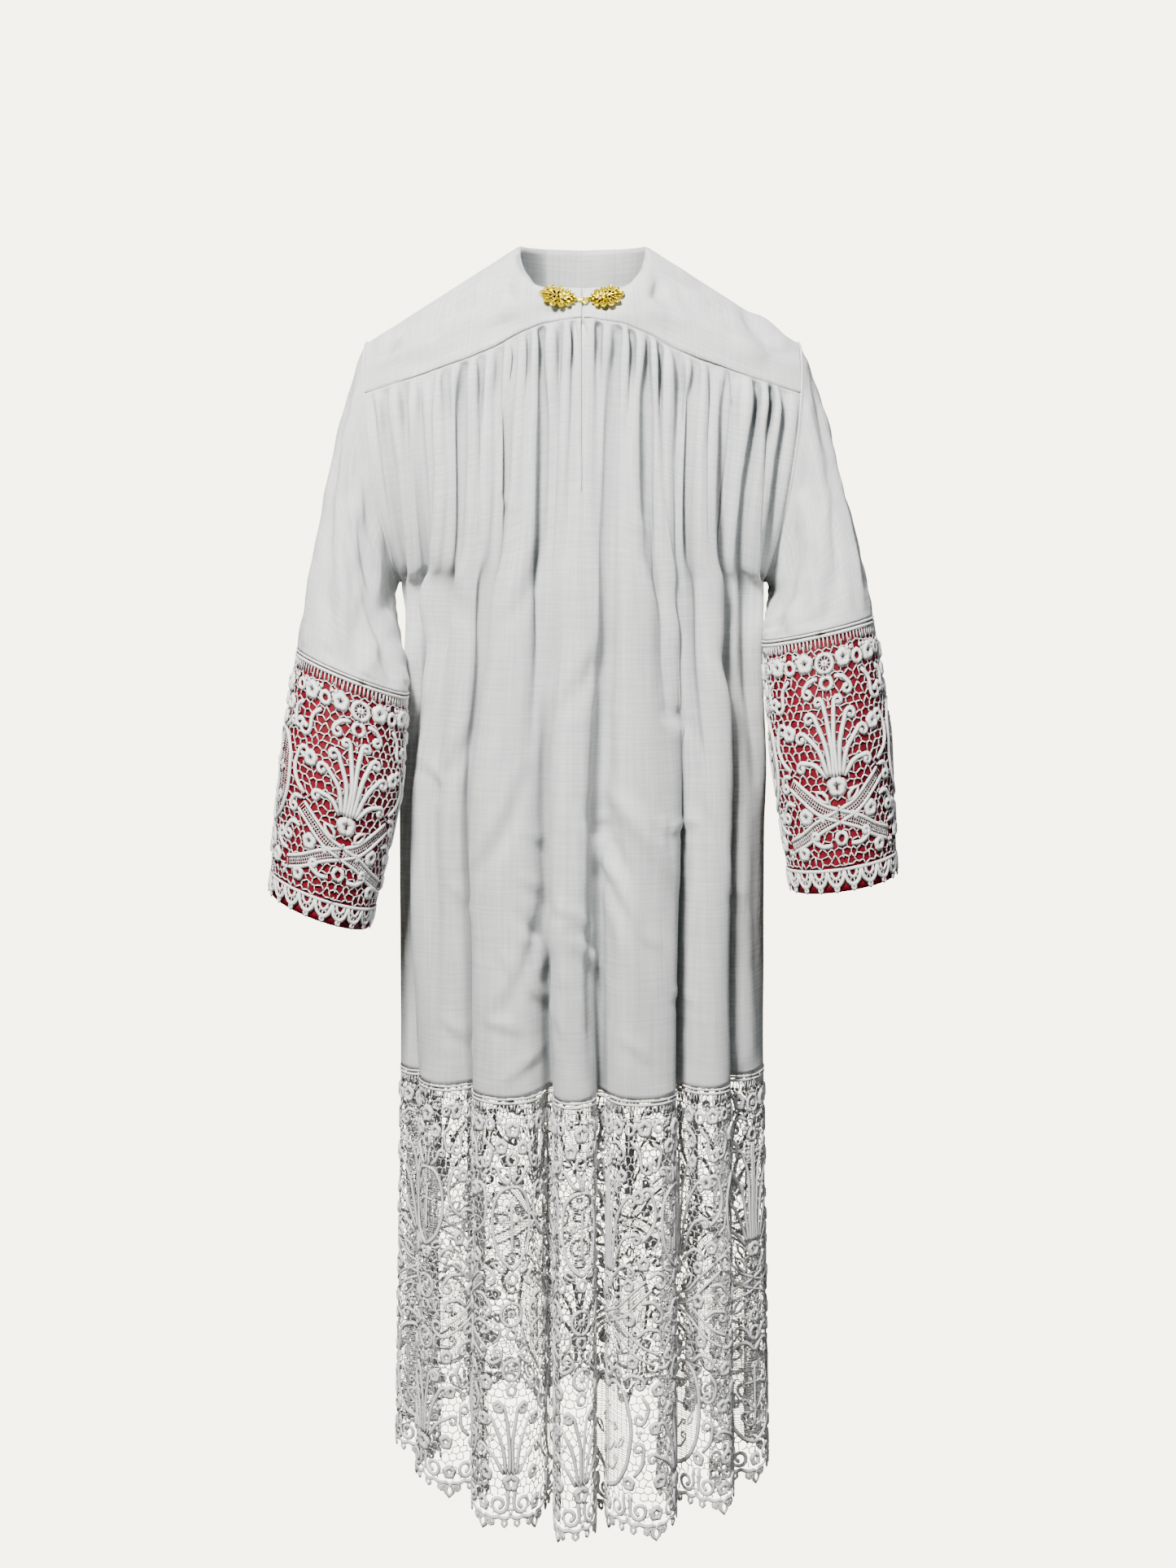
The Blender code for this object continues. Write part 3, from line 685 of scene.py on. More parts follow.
SWELLS = (
    # share across the panel, start below the seam, length, width, height
    (0.018, 0.006, 0.050, 0.0055, 0.0030), (0.060, 0.004, 0.085, 0.0085, 0.0052),
    (0.104, 0.005, 0.060, 0.0060, 0.0036), (0.142, 0.003, 0.110, 0.0090, 0.0056),
    (0.181, 0.006, 0.055, 0.0055, 0.0034), (0.226, 0.004, 0.095, 0.0085, 0.0050),
    (0.265, 0.005, 0.050, 0.0050, 0.0032), (0.304, 0.003, 0.120, 0.0090, 0.0054),
    (0.344, 0.006, 0.070, 0.0060, 0.0036), (0.381, 0.004, 0.060, 0.0055, 0.0034),
    (0.418, 0.005, 0.100, 0.0080, 0.0046), (0.452, 0.006, 0.050, 0.0050, 0.0028),
    (0.548, 0.005, 0.055, 0.0055, 0.0030), (0.585, 0.004, 0.105, 0.0085, 0.0050),
    (0.627, 0.006, 0.060, 0.0055, 0.0034), (0.665, 0.003, 0.075, 0.0070, 0.0042),
    (0.703, 0.005, 0.115, 0.0090, 0.0055), (0.745, 0.006, 0.050, 0.0050, 0.0032),
    (0.786, 0.004, 0.080, 0.0075, 0.0048), (0.824, 0.005, 0.060, 0.0055, 0.0034),
    (0.866, 0.003, 0.110, 0.0090, 0.0055), (0.910, 0.006, 0.055, 0.0060, 0.0036),
    (0.950, 0.004, 0.080, 0.0075, 0.0046), (0.982, 0.006, 0.045, 0.0050, 0.0026),
)
PUCKERS = 90
PUCKER_WIDTH = (0.0035, 0.0060)
PUCKER_DEPTH = (0.0009, 0.0021)
PUCKER_LENGTH = (0.014, 0.042)
PUCKER_LEAN = 0.06


def gather_relief(share, below, wide, flip):
    """Uneven gathers that fade with the distance below a seam."""
    relief = np.zeros_like(below)
    for place, width, depth, length in GATHERS:
        if flip:
            place = 1.0 - place
        across = (share - place) * wide / width
        relief -= 1.5 * depth * np.exp(-across ** 2) * np.exp(-(below / length) ** 1.6)
    for place, start, length, width, height in SWELLS:
        if flip:
            place = 1.0 - place
        part = np.clip((below - start) / length, 0.0, 1.0)
        across = (share - place) * wide / (width * (0.7 + 0.6 * part))
        relief += height * np.exp(-across ** 2) * np.sin(math.pi * np.sqrt(part))
    for _ in range(PUCKERS):
        place = CHANCE.uniform(0.01, 0.99)
        width = CHANCE.uniform(*PUCKER_WIDTH)
        depth = CHANCE.uniform(*PUCKER_DEPTH)
        length = CHANCE.uniform(*PUCKER_LENGTH)
        across = ((share - place) * wide - CHANCE.normal(0.0, PUCKER_LEAN) * below) / width
        height = CHANCE.choice((-1.0, 1.0)) * depth
        relief += height * np.exp(-across ** 2) * np.exp(-(below / length) ** 2)
    return relief * np.clip(below / 0.005, 0.0, 1.0)


def long_fold(share, below, wide, fold):
    """Soft upright fold: top and bottom share, start, end, width, depth and sway."""
    top, bottom, start, end, width, depth, sway = fold
    part = np.clip((below - start) / (end - start), 0.0, 1.0)
    middle = top + (bottom - top) * part + sway * np.sin(2 * math.pi * part)
    across = (share - middle) * wide / width
    ends = np.sin(math.pi * part) ** 0.8
    if depth < 0:
        beside = np.exp(-((np.abs(across) - 1.9) ** 2))
        return depth * ends * (1.15 * np.exp(-np.abs(across) ** 1.2) - 0.4 * beside)
    return depth * ends * (np.exp(-across ** 2) - 0.4 * np.exp(-((np.abs(across) - 1.7) ** 2)))


FRONT_FOLDS = (
    # share at the top and bottom, start, end, width, height, sway
    (0.035, 0.045, 0.01, 0.42, 0.010, -0.0070, 0.004),
    (0.110, 0.100, 0.04, 0.56, 0.011, -0.0105, 0.006),
    (0.155, 0.140, 0.02, 0.48, 0.017, 0.0075, -0.005),
    (0.205, 0.175, 0.00, 0.40, 0.009, -0.0080, -0.004),
    (0.252, 0.230, 0.05, 0.62, 0.018, 0.0075, -0.005),
    (0.300, 0.275, 0.02, 0.50, 0.010, -0.0105, 0.005),
    (0.352, 0.330, 0.03, 0.66, 0.019, 0.0070, 0.004),
    (0.405, 0.390, 0.06, 0.46, 0.009, -0.0080, -0.005),
    (0.452, 0.440, 0.02, 0.34, 0.014, 0.0050, 0.003),
    (0.560, 0.570, 0.03, 0.55, 0.010, -0.0085, 0.005),
    (0.605, 0.615, 0.05, 0.50, 0.017, 0.0070, -0.004),
    (0.650, 0.670, 0.01, 0.42, 0.010, -0.0085, -0.006),
    (0.695, 0.715, 0.04, 0.66, 0.018, 0.0075, -0.006),
    (0.740, 0.765, 0.01, 0.56, 0.010, -0.0105, 0.005),
    (0.785, 0.805, 0.03, 0.48, 0.016, 0.0065, 0.004),
    (0.828, 0.850, 0.00, 0.60, 0.010, -0.0090, 0.005),
    (0.885, 0.905, 0.05, 0.46, 0.010, -0.0085, -0.004),
    (0.925, 0.935, 0.02, 0.50, 0.014, 0.0060, 0.004),
    (0.962, 0.962, 0.01, 0.36, 0.009, -0.0060, 0.003),
    (0.17, 0.15, 0.40, 0.86, 0.016, 0.0070, 0.004),
    (0.215, 0.200, 0.34, 0.80, 0.012, -0.0075, -0.005),
    (0.49, 0.47, 0.34, 0.80, 0.020, 0.0080, -0.006),
    (0.535, 0.520, 0.36, 0.84, 0.012, -0.0080, 0.005),
    (0.61, 0.60, 0.40, 0.86, 0.016, 0.0065, 0.004),
    (0.86, 0.87, 0.38, 0.84, 0.015, 0.0075, -0.005),
)
BACK_FOLDS = (
    (0.12, 0.09, 0.02, 0.50, 0.018, -0.0060, 0.005),
    (0.25, 0.22, 0.03, 0.66, 0.021, 0.0065, -0.006),
    (0.35, 0.33, 0.01, 0.48, 0.015, -0.0065, 0.005),
    (0.46, 0.47, 0.04, 0.72, 0.022, 0.0060, 0.006),
    (0.57, 0.58, 0.00, 0.52, 0.016, -0.0070, -0.005),
    (0.68, 0.70, 0.05, 0.60, 0.019, 0.0065, 0.005),
    (0.79, 0.82, 0.02, 0.47, 0.016, -0.0060, -0.004),
    (0.90, 0.91, 0.04, 0.58, 0.017, 0.0050, 0.004),
    (0.30, 0.29, 0.38, 0.70, 0.018, -0.0045, 0.004),
    (0.73, 0.74, 0.36, 0.70, 0.018, 0.0050, -0.005),
)
FRONT_CREASES = (
    # start x and z, end x and z, width, depth
    ((-0.010, -0.600), (0.085, -0.770), 0.010, 0.0075),
    ((0.012, -0.575), (0.105, -0.715), 0.012, -0.0060),
    ((0.010, -0.660), (0.075, -0.820), 0.008, 0.0055),
    ((-0.030, -0.705), (-0.105, -0.860), 0.010, 0.0055),
    ((-0.012, -0.690), (-0.085, -0.835), 0.012, -0.0055),
    ((-0.060, -0.560), (-0.120, -0.700), 0.009, 0.0055),
    ((-0.080, -0.720), (-0.020, -0.800), 0.008, 0.0040),
    ((0.130, -0.420), (0.185, -0.560), 0.010, 0.0055),
    ((0.120, -0.600), (0.165, -0.690), 0.009, 0.0045),
    ((0.085, -0.500), (0.135, -0.555), 0.008, 0.0040),
    ((-0.150, -0.360), (-0.195, -0.500), 0.010, 0.0055),
    ((-0.125, -0.520), (-0.175, -0.620), 0.009, 0.0045),
    ((0.060, -0.330), (0.115, -0.455), 0.009, 0.0045),
    ((-0.040, -0.300), (-0.085, -0.430), 0.009, 0.0045),
    ((0.020, -0.430), (-0.030, -0.520), 0.009, 0.0040),
    ((-0.065, -0.636), (-0.028, -0.664), 0.0062, -0.0017),
    ((-0.078, -0.684), (-0.028, -0.718), 0.0065, -0.0019),
    ((-0.030, -0.708), (0.020, -0.758), 0.0065, -0.0036),
    ((-0.016, -0.745), (0.030, -0.808), 0.0065, -0.0036),
    ((-0.026, -0.778), (0.004, -0.858), 0.0062, -0.0032),
    ((-0.024, -0.838), (-0.006, -0.890), 0.0060, -0.0028),
    ((-0.060, -0.806), (-0.026, -0.846), 0.0062, -0.0030),
    ((-0.088, -0.762), (-0.077, -0.808), 0.0060, -0.0026),
    ((-0.116, -0.846), (-0.060, -0.858), 0.0068, -0.0034),
    ((-0.162, -0.852), (-0.116, -0.892), 0.0065, -0.0030),
    ((-0.098, -0.924), (-0.036, -0.876), 0.0070, -0.0028),
    ((0.006, -0.640), (0.030, -0.619), 0.0058, -0.0030),
    ((0.012, -0.634), (0.022, -0.662), 0.0058, -0.0028),
    ((0.016, -0.664), (0.033, -0.692), 0.0060, -0.0026),
    ((0.080, -0.624), (0.093, -0.642), 0.0058, -0.0030),
    ((0.089, -0.641), (0.138, -0.632), 0.0062, -0.0028),
    ((0.163, -0.706), (0.185, -0.731), 0.0060, -0.0028),
    ((0.064, -0.749), (0.089, -0.768), 0.0060, -0.0026),
    ((0.094, -0.812), (0.132, -0.846), 0.0065, -0.0024),
    ((0.040, -0.860), (0.078, -0.892), 0.0065, -0.0024),
    ((-0.184, -0.560), (-0.150, -0.604), 0.0062, -0.0028),
    ((-0.182, -0.330), (-0.112, -0.455), 0.0130, 0.0026),
    ((-0.160, -0.318), (-0.118, -0.412), 0.0125, -0.0034),
    ((0.158, -0.320), (0.120, -0.404), 0.0125, -0.0026),
    ((-0.150, -0.700), (-0.118, -0.742), 0.0065, -0.0030),
    ((0.050, -0.300), (0.080, -0.336), 0.0062, -0.0024),
    ((-0.098, -0.270), (-0.066, -0.300), 0.0062, -0.0022),
)
BACK_CREASES = (
    ((-0.030, -0.520), (0.060, -0.680), 0.012, 0.0045),
    ((0.050, -0.620), (0.120, -0.790), 0.012, 0.0045),
    ((-0.070, -0.600), (-0.130, -0.770), 0.011, 0.0040),
    ((-0.120, -0.380), (-0.170, -0.530), 0.010, 0.0040),
    ((0.020, -0.560), (0.070, -0.610), 0.0068, -0.0034),
    ((-0.040, -0.690), (0.016, -0.742), 0.0068, -0.0036),
    ((0.080, -0.760), (0.128, -0.815), 0.0068, -0.0030),
    ((-0.150, -0.660), (-0.104, -0.712), 0.0068, -0.0032),
    ((-0.088, -0.842), (-0.030, -0.862), 0.0070, -0.0030),
    ((0.120, -0.470), (0.162, -0.520), 0.0068, -0.0028),
)


def split_columns(cage, columns):
    """Lengths across a cage that pass exactly through the two slit columns."""
    length = knots_down(cage.transpose(1, 0, 2))
    half = cage.shape[1] // 2
    right = np.linspace(0.0, length[half - 1], columns // 2)
    left = np.linspace(length[half], length[-1], columns // 2)
    return length, np.concatenate((right, left))


FRONT_GRID = (150, 270)
BACK_GRID = (96, 190)
ROW_CROWD = 1.12


def build_body(front, material):
    """Body panel with gathers, folds and creases."""
    rows, columns = FRONT_GRID if front else BACK_GRID
    cage = body_cage(front)
    length, wanted = split_columns(cage, columns)
    grid = finer_columns(finer_rows(cage, rows, ROW_CROWD), length, wanted)
    normal = normals_of(grid, away_from_axis(grid))
    steps = np.linalg.norm(np.diff(grid, axis=0), axis=2)
    below = np.concatenate((np.zeros((1, grid.shape[1])), np.cumsum(steps, axis=0)))
    share = np.broadcast_to(wanted / length[-1], below.shape)
    wide = length[-1]
    relief = gather_relief(share, below, wide, not front)
    for fold in (FRONT_FOLDS if front else BACK_FOLDS):
        relief = relief + long_fold(share, below, wide, fold)
    for start, end, width, depth in (FRONT_CREASES if front else BACK_CREASES):
        relief = relief + trough(grid[..., 0], grid[..., 2], start, end, width, depth)
    relief = relief + 0.0011 * smooth_noise(share * wide, below * 0.45, 0.20, 0.035, 14)
    edge = np.minimum(share, 1.0 - share) * wide
    free = np.clip(edge / 0.03, 0.0, 1.0)
    low = np.clip((below[-1] - below) / 0.02, 0.0, 1.0)
    relief = relief * (free * free * (3 - 2 * free)) * low
    grid = grid + normal * relief[..., None]
    missing = None
    if front:
        missing = np.zeros((rows - 1, grid.shape[1] - 1), bool)
        middle = grid.shape[1] // 2
        depth_at = -grid[1:, middle, 2]
        missing[depth_at <= SLIT_DROP + 0.004, middle - 1] = True
    name = "body_front" if front else "body_back"
    piece = add_grid(name + "_cloth", grid, material, missing=missing)
    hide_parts(name)
    return piece, grid


YOKE_GRID_ROWS = 26
YOKE_CREASES = (
    # start x and z, end x and z on the left, width, depth
    ((0.221, -0.108), (0.172, -0.068), 0.008, 0.0030), ((0.240, -0.124), (0.192, -0.106), 0.007, 0.0026),
    ((0.158, -0.084), (0.100, -0.058), 0.008, 0.0024), ((0.205, -0.128), (0.158, -0.102), 0.009, -0.0022),
    ((0.120, -0.096), (0.066, -0.070), 0.009, -0.0018), ((0.150, -0.048), (0.096, -0.026), 0.008, 0.0020),
    ((0.086, -0.040), (0.074, -0.072), 0.007, 0.0016), ((0.190, -0.150), (0.146, -0.128), 0.008, 0.0018),
)


def build_yokes(material):
    """Yokes over the shoulders: two in front, one behind."""
    pieces = []
    for name, front, sides in (
        ("yoke_front_right", True, (-1,)),
        ("yoke_front_left", True, (1,)),
        ("yoke_back", False, (-1, 1)),
    ):
        halves = [yoke_cage(front, side) for side in sides]
        if len(halves) == 2:
            cage = np.concatenate((halves[0][:, ::-1], halves[1]), axis=1)
        else:
            cage = halves[0]
        columns = 90 if len(halves) == 1 else 170
        tall = finer_rows(cage, YOKE_GRID_ROWS)
        length = knots_down(tall.transpose(1, 0, 2))
        grid = finer_columns(tall, length, np.linspace(0.0, length[-1], columns))
        normal = normals_of(grid, away_from_axis(grid))
        share, down = np.meshgrid(np.linspace(0.0, 1.0, columns), np.linspace(0.0, 1.0, YOKE_GRID_ROWS))
        inside = np.clip(np.minimum(share, 1.0 - share) * 12, 0.0, 1.0)
        inside = inside * np.clip(np.minimum(down, 1.0 - down) * 8, 0.0, 1.0)
        relief = 0.0021 * smooth_noise(share * 0.26, down * 0.12, 0.12, 0.03, 10)
        for start, end, width, depth in YOKE_CREASES:
            slant = 1.0 if front else -1.0
            for side, deeper, shift in ((-1, 2.5, 0.006), (1, 2.9, 0.0)):
                first = (side * start[0], start[1] - shift * slant)
                last = (side * end[0], end[1] - shift)
                relief = relief + trough(grid[..., 0], grid[..., 2], first, last, width, deeper * depth)
        welt = np.exp(-((1.0 - down) / 0.06) ** 2) * 0.0007
        grid = grid + normal * (relief * inside + welt)[..., None]
        piece = add_grid(name + "_cloth", grid, material)
        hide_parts(name)
        pieces.append((piece, grid))
    return pieces


PIPING = 0.0016
SLEEVE_TROUGHS = (
    # angle, share at the start and end, width in degrees, depth, turn in degrees
    (38, 0.10, 0.62, 11, 0.0060, 14), (78, 0.02, 0.50, 12, 0.0046, -10),
    (112, 0.06, 0.72, 13, 0.0052, 12), (150, 0.02, 0.55, 12, 0.0050, -14),
    (62, 0.45, 1.00, 12, 0.0060, 16), (98, 0.55, 1.02, 10, 0.0050, -8),
    (135, 0.50, 1.02, 13, 0.0060, 12), (10, 0.35, 0.90, 12, 0.0045, 12),
    (-30, 0.10, 0.70, 13, 0.0060, -12), (-70, 0.05, 0.60, 12, 0.0065, 12),
    (-105, 0.30, 0.95, 13, 0.0060, -10), (-145, 0.05, 0.75, 12, 0.0060, 14),
)
SLEEVE_RIDGES = (
    (55, 0.00, 0.42, 8, 0.0035, 6), (92, 0.00, 0.36, 7, 0.0032, -6),
    (128, 0.00, 0.40, 8, 0.0035, 6), (80, 0.40, 0.90, 9, 0.0040, 10),
    (-50, 0.00, 0.40, 8, 0.0032, 6), (-90, 0.00, 0.42, 8, 0.0032, -6),
    (118, 0.62, 1.00, 8, 0.0035, -6), (28, 0.55, 1.00, 9, 0.0035, 6),
)


def wrap(degrees):
    """Angle brought between -180 and 180."""
    return (degrees + 180.0) % 360.0 - 180.0


def build_sleeve(name, material):
    """Sleeve with soft uneven folds along the arm."""
    rows, columns = 92, 100
    downs = np.linspace(0.0, 1.0, rows)
    angles = np.linspace(0.0, 360.0, columns, endpoint=False)
    grid = np.array([[sleeve_point(name, angle, down) for angle in angles] for down in downs])
    centre = grid.mean(axis=1, keepdims=True)
    normal = normals_of(grid, grid - centre, closed=True)
    size, shift = (1.0, 0.0) if name == "right" else (0.82, 9.0)
    relief = np.zeros((rows, columns))
    down = downs[:, None]
    for table, sign in ((SLEEVE_TROUGHS, -1.0), (SLEEVE_RIDGES, 1.0)):
        for angle, start, end, width, depth, turn in table:
            part = np.clip((down - start) / (end - start), 0.0, 1.0)
            across = wrap(angles[None, :] - (angle + shift + turn * (part - 0.5) * 2)) / width
            fade = np.sin(math.pi * part) ** 0.8
            relief = relief + sign * size * depth * fade * np.exp(-across ** 2)
    around = 0.27 * np.cos(np.radians(angles))[None, :] * np.ones((rows, 1))
    along_arm = down * 0.55 + 0.1 * np.sin(np.radians(angles))
    relief = relief + 0.0014 * smooth_noise(around, along_arm, 0.16, 0.04, 12)
    ends = np.clip(np.minimum(down, 1.0 - down) / 0.06, 0.0, 1.0)
    grid = grid + normal * (relief * ends)[..., None]
    piece = add_grid(f"sleeve_{name}_cloth", grid, material, closed=True)
    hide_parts(f"sleeve_{name}")
    return piece


def build_armhole_seam(name, material):
    """Rounded piping along the seam between a sleeve and the body."""
    side = SIDES[name]
    path = np.array([0.5 * (armhole(wrap(angle), side) + sleeve_point(name, wrap(angle), 0.0))
                     for angle in np.arange(0.0, 360.0, 3.0)])
    way = np.roll(path, -1, axis=0) - np.roll(path, 1, axis=0)
    way /= np.linalg.norm(way, axis=1, keepdims=True)
    out = path - path.mean(axis=0)
    out -= way * np.sum(out * way, axis=1, keepdims=True)
    out /= np.linalg.norm(out, axis=1, keepdims=True)
    across = np.cross(way, out)
    turns = 2 * math.pi * np.arange(8) / 8
    round_it = np.cos(turns)[:, None] * out[:, None] + np.sin(turns)[:, None] * across[:, None]
    grid = path[:, None] + PIPING * round_it
    return add_grid(f"armhole_seam_{name}", grid, material, closed=True, ring=True)


def build_placket(yoke, body, material):
    """Strip of cloth behind the neck slit."""
    middle = body.shape[1] // 2
    slit = body[:, middle - 1]
    line = np.concatenate((yoke[:-1, 0], slit[-slit[:, 2] < SLIT_DROP + 0.012]))
    across = np.linspace(-0.0095, 0.0095, 7)
    grid = np.stack([line + (0.0, 0.0026 + 6.0 * step * step, 0.0) for step in across], axis=1)
    grid[..., 0] = across
    return add_grid("neck_placket", grid, material)


def carried_on(grid, beyond):
    """Grid with one more row, beyond its last one."""
    away = grid[-1] - grid[-2]
    away = away / np.linalg.norm(away, axis=1, keepdims=True)
    return np.concatenate((grid, (grid[-1] + away * beyond)[None]))


def cuff_grid(name, rows, columns, inset, beyond):
    """Fine grid of a cuff tube, from the seam to beyond its last ring."""
    below = np.array((0.0, 0.0, -2 * SEAM_GAP))
    angles = np.linspace(0.0, 360.0, columns, endpoint=False)
    shares = np.linspace(0.0, 1.0, rows)
    grid = np.array([[cuff_point(name, share, angle, inset) + below for angle in angles] for share in shares])
    return carried_on(grid, beyond)


def build_lining(name, material):
    """Red lining tube inside the cuff lace."""
    grid = cuff_grid(name, 56, 80, CUFF_CLEAR, LINING_BEYOND)
    piece = add_grid(f"cuff_lining_{name}_cloth", grid, material, closed=True)
    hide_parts(f"cuff_lining_{name}")
    return piece


# Lace charts: u across, v down from the heading, both in metres, on half a repeat

REPEAT = 0.22
HALF = 0.5 * REPEAT
CORD_STEP = 0.0056
CORD = 0.0023
FINE_CORD = 0.0016
BAR = 0.00098
THREAD = 0.00066
NET_CELL = 0.0098
NET_JITTER = 0.0011
CUFF_TURN = {"right": 0.052, "left": 0.015}
CUFF_LENGTH = 0.262
CUFF_BEYOND = 0.016
HEM_BEYOND = 0.024
HEM_SAMPLES = 1600
FLOUNCE_GRID = (120, 900)


def new_chart():
    return {"cords": [], "bars": [], "motifs": [], "shields": [], "bands": []}


def along(points, step=CORD_STEP, closed=False):
    """Smooth line through points, in even steps."""
    points = np.array(points, float)
    if closed:
        points = np.concatenate((points[-2:], points, points[:3]))
    knots = knots_along(points)
    first, last = (knots[2], knots[-3]) if closed else (0.0, knots[-1])
    count = max(3, int(round((last - first) / step)) + 1)
    return spline(points[:, None, :], knots, np.linspace(first, last, count))[:, 0]


def add_cord(chart, points, wide=CORD, closed=False):
    chart["cords"].append((np.array(points, float), wide, closed))


def add_bar(chart, start, end, wide=BAR):
    chart["bars"].append((np.array((start, end), float), wide))


def turned(centre, radius, start, sweep, lobes=0, depth=0.0, steps=None):
    """Part of a ring, or of a lobed ring, round a centre. Angle 0 is +u, 90 is down."""
    count = steps or max(5, int(round(math.radians(abs(sweep)) * radius / CORD_STEP * 1.1)) + 1)
    angle = np.radians(start + sweep * np.linspace(0.0, 1.0, count))
    reach = radius * (1.0 - depth + depth * np.abs(np.cos(0.5 * lobes * (angle + 0.5 * math.pi))))
    return np.stack((centre[0] + reach * np.cos(angle), centre[1] + reach * np.sin(angle)), axis=1)


def on_axis(centre):
    """Sweep that stays on this half: whole, or half a turn on either axis."""
    if centre[0] < 1e-6:
        return -90.0, 180.0
    if centre[0] > HALF - 1e-6:
        return -90.0, -180.0
    return -90.0, 360.0


def add_round(chart, centre, radius, wide, lobes=0, depth=0.0, steps=(None, None)):
    """Ring or lobed ring of cord; steps are for a whole one and for half of one."""
    start, sweep = on_axis(centre)
    whole = abs(sweep) > 359
    line = turned(centre, radius, start, sweep, lobes, depth, steps[0] if whole else steps[1])
    add_cord(chart, line[:-1] if whole else line, wide, whole)
    return start, sweep, whole


def add_ring(chart, centre, radius):
    add_round(chart, centre, radius, CORD)
    chart["motifs"].append((*centre, radius))


def add_flower(chart, centre, radius):
    """Five-petalled flower with a hole in the middle."""
    add_round(chart, centre, radius * 0.70, radius * 0.36, 5, 0.26, (21, 11))
    chart["motifs"].append((*centre, radius))


def add_rosette(chart, centre, radius, spokes=10):
    """Ring with spokes and a raised button."""
    start, sweep, whole = add_round(chart, centre, radius, CORD)
    add_round(chart, centre, radius * 0.26, CORD * 0.9, steps=(7, 4))
    turns = spokes if whole else spokes // 2
    for step in range(turns):
        angle = math.radians(start + sweep * (step + 0.5) / turns)
        ray = np.array((math.cos(angle), math.sin(angle)))
        add_bar(chart, np.array(centre) + 0.40 * radius * ray, np.array(centre) + radius * ray)
    chart["motifs"].append((*centre, radius))


def add_leaf(chart, base, tip, wide, cord=FINE_CORD):
    """Pointed oval loop from its base to its tip."""
    base, tip = np.array(base, float), np.array(tip, float)
    side = np.array((tip[1] - base[1], base[0] - tip[0])) / np.linalg.norm(tip - base)
    shape = ((0.0, 0.0), (0.30, 0.85), (0.68, 0.80), (1.0, 0.0), (0.68, -0.80), (0.30, -0.85))
    points = [base + (tip - base) * part + side * wide * 0.5 * out for part, out in shape]
    add_cord(chart, points, cord, True)
    middle = 0.5 * (base + tip)
    chart["motifs"].append((middle[0], middle[1], 0.35 * np.linalg.norm(tip - base)))


def add_curl(chart, points, radius, side, wide=CORD, turns=1.0):
    """Stem through points that ends in a spiral, to the right (1) or left (-1) of its way."""
    stem = along(points)
    way = stem[-1] - stem[-2]
    way = way / np.linalg.norm(way)
    across = np.array((-way[1], way[0])) * side
    centre = stem[-1] + across * radius
    begin = math.atan2(-across[1], -across[0])
    count = int(turns * 2 * math.pi * radius * 0.75 / CORD_STEP) + 4
    part = np.linspace(0.0, 1.0, count)[1:]
    angle = begin + side * 2 * math.pi * turns * part
    reach = radius * (1.0 - 0.72 * part)
    spiral = np.stack((centre[0] + reach * np.cos(angle), centre[1] + reach * np.sin(angle)), axis=1)
    line = np.concatenate((stem, spiral))
    size = np.full(len(line), wide)
    size[-2:] *= 1.35
    chart["cords"].append((line, size, False))
    chart["motifs"].append((*centre, radius))


def add_band(chart, points, half_wide):
    """Ladder band: two cords, rungs and a fine middle line."""
    middle = along(points, 0.0030)
    way = np.gradient(middle, axis=0)
    way /= np.linalg.norm(way, axis=1, keepdims=True)
    across = np.stack((-way[:, 1], way[:, 0]), axis=1) * half_wide
    for side in (-1, 1):
        edge = middle + side * across
        edge[:, 0] = np.clip(edge[:, 0], 0.0, HALF)
        thinned = edge[::2] if len(edge) % 2 else np.concatenate((edge[:-1:2], edge[-1:]))
        add_cord(chart, thinned, FINE_CORD * 1.1)
    for place in range(len(middle)):
        low = middle[place] - across[place]
        high = middle[place] + across[place]
        if min(low[0], high[0]) > 0.0:
            add_bar(chart, low, high, THREAD * 0.85)
    for share in (-0.3, 0.3):
        for place in range(0, len(middle) - 3, 3):
            start = middle[place] + share * across[place]
            end = middle[place + 3] + share * across[place + 3]
            if min(start[0], end[0]) > 0.0:
                add_bar(chart, start, end, THREAD * 0.85)
    chart["bands"].append((middle, half_wide))


def add_shield(chart, outline, axis, pitch, cord):
    """Shield round an axis, filled with fine woven threads."""
    edge = along(outline, 0.004)
    add_cord(chart, edge, cord)
    side = 1.0 if axis == 0.0 else -1.0
    reach = np.abs(edge[:, 0] - axis)
    rows = np.arange(edge[:, 1].min() + pitch, edge[:, 1].max(), pitch)
    for row in rows:
        crossing = np.nonzero(np.diff(np.sign(edge[:, 1] - row)))[0]
        if not len(crossing):
            continue
        pairs = [sorted(((edge[at, 1], reach[at]), (edge[at + 1, 1], reach[at + 1]))) for at in crossing]
        widest = max(np.interp(row, *zip(*pair)) for pair in pairs)
        waver = CHANCE.normal(0.0, 0.00025, 2)
        pieces = max(1, int(widest / 0.016))
        for step in range(pieces):
            near, far = widest * step / pieces, widest * (step + 1) / pieces
            add_bar(chart, (axis + side * near, row + waver[0]), (axis + side * far, row + waver[0]), THREAD)
    for place in np.arange(1.5 * pitch, reach.max(), 3.0 * pitch):
        inside = edge[reach >= place]
        if len(inside) > 1:
            top, bottom = inside[:, 1].min(), inside[:, 1].max()
            count = max(1, int((bottom - top) / 0.022))
            for step in range(count):
                start = top + (bottom - top) * step / count
                end = top + (bottom - top) * (step + 1) / count
                add_bar(chart, (axis + side * place, start), (axis + side * place, end), THREAD * 0.8)
    chart["shields"].append((axis, edge))


def add_dot(chart, centre, radius=0.0025):
    """Small raised button."""
    add_round(chart, centre, radius * 0.45, radius * 0.62, steps=(6, 4))


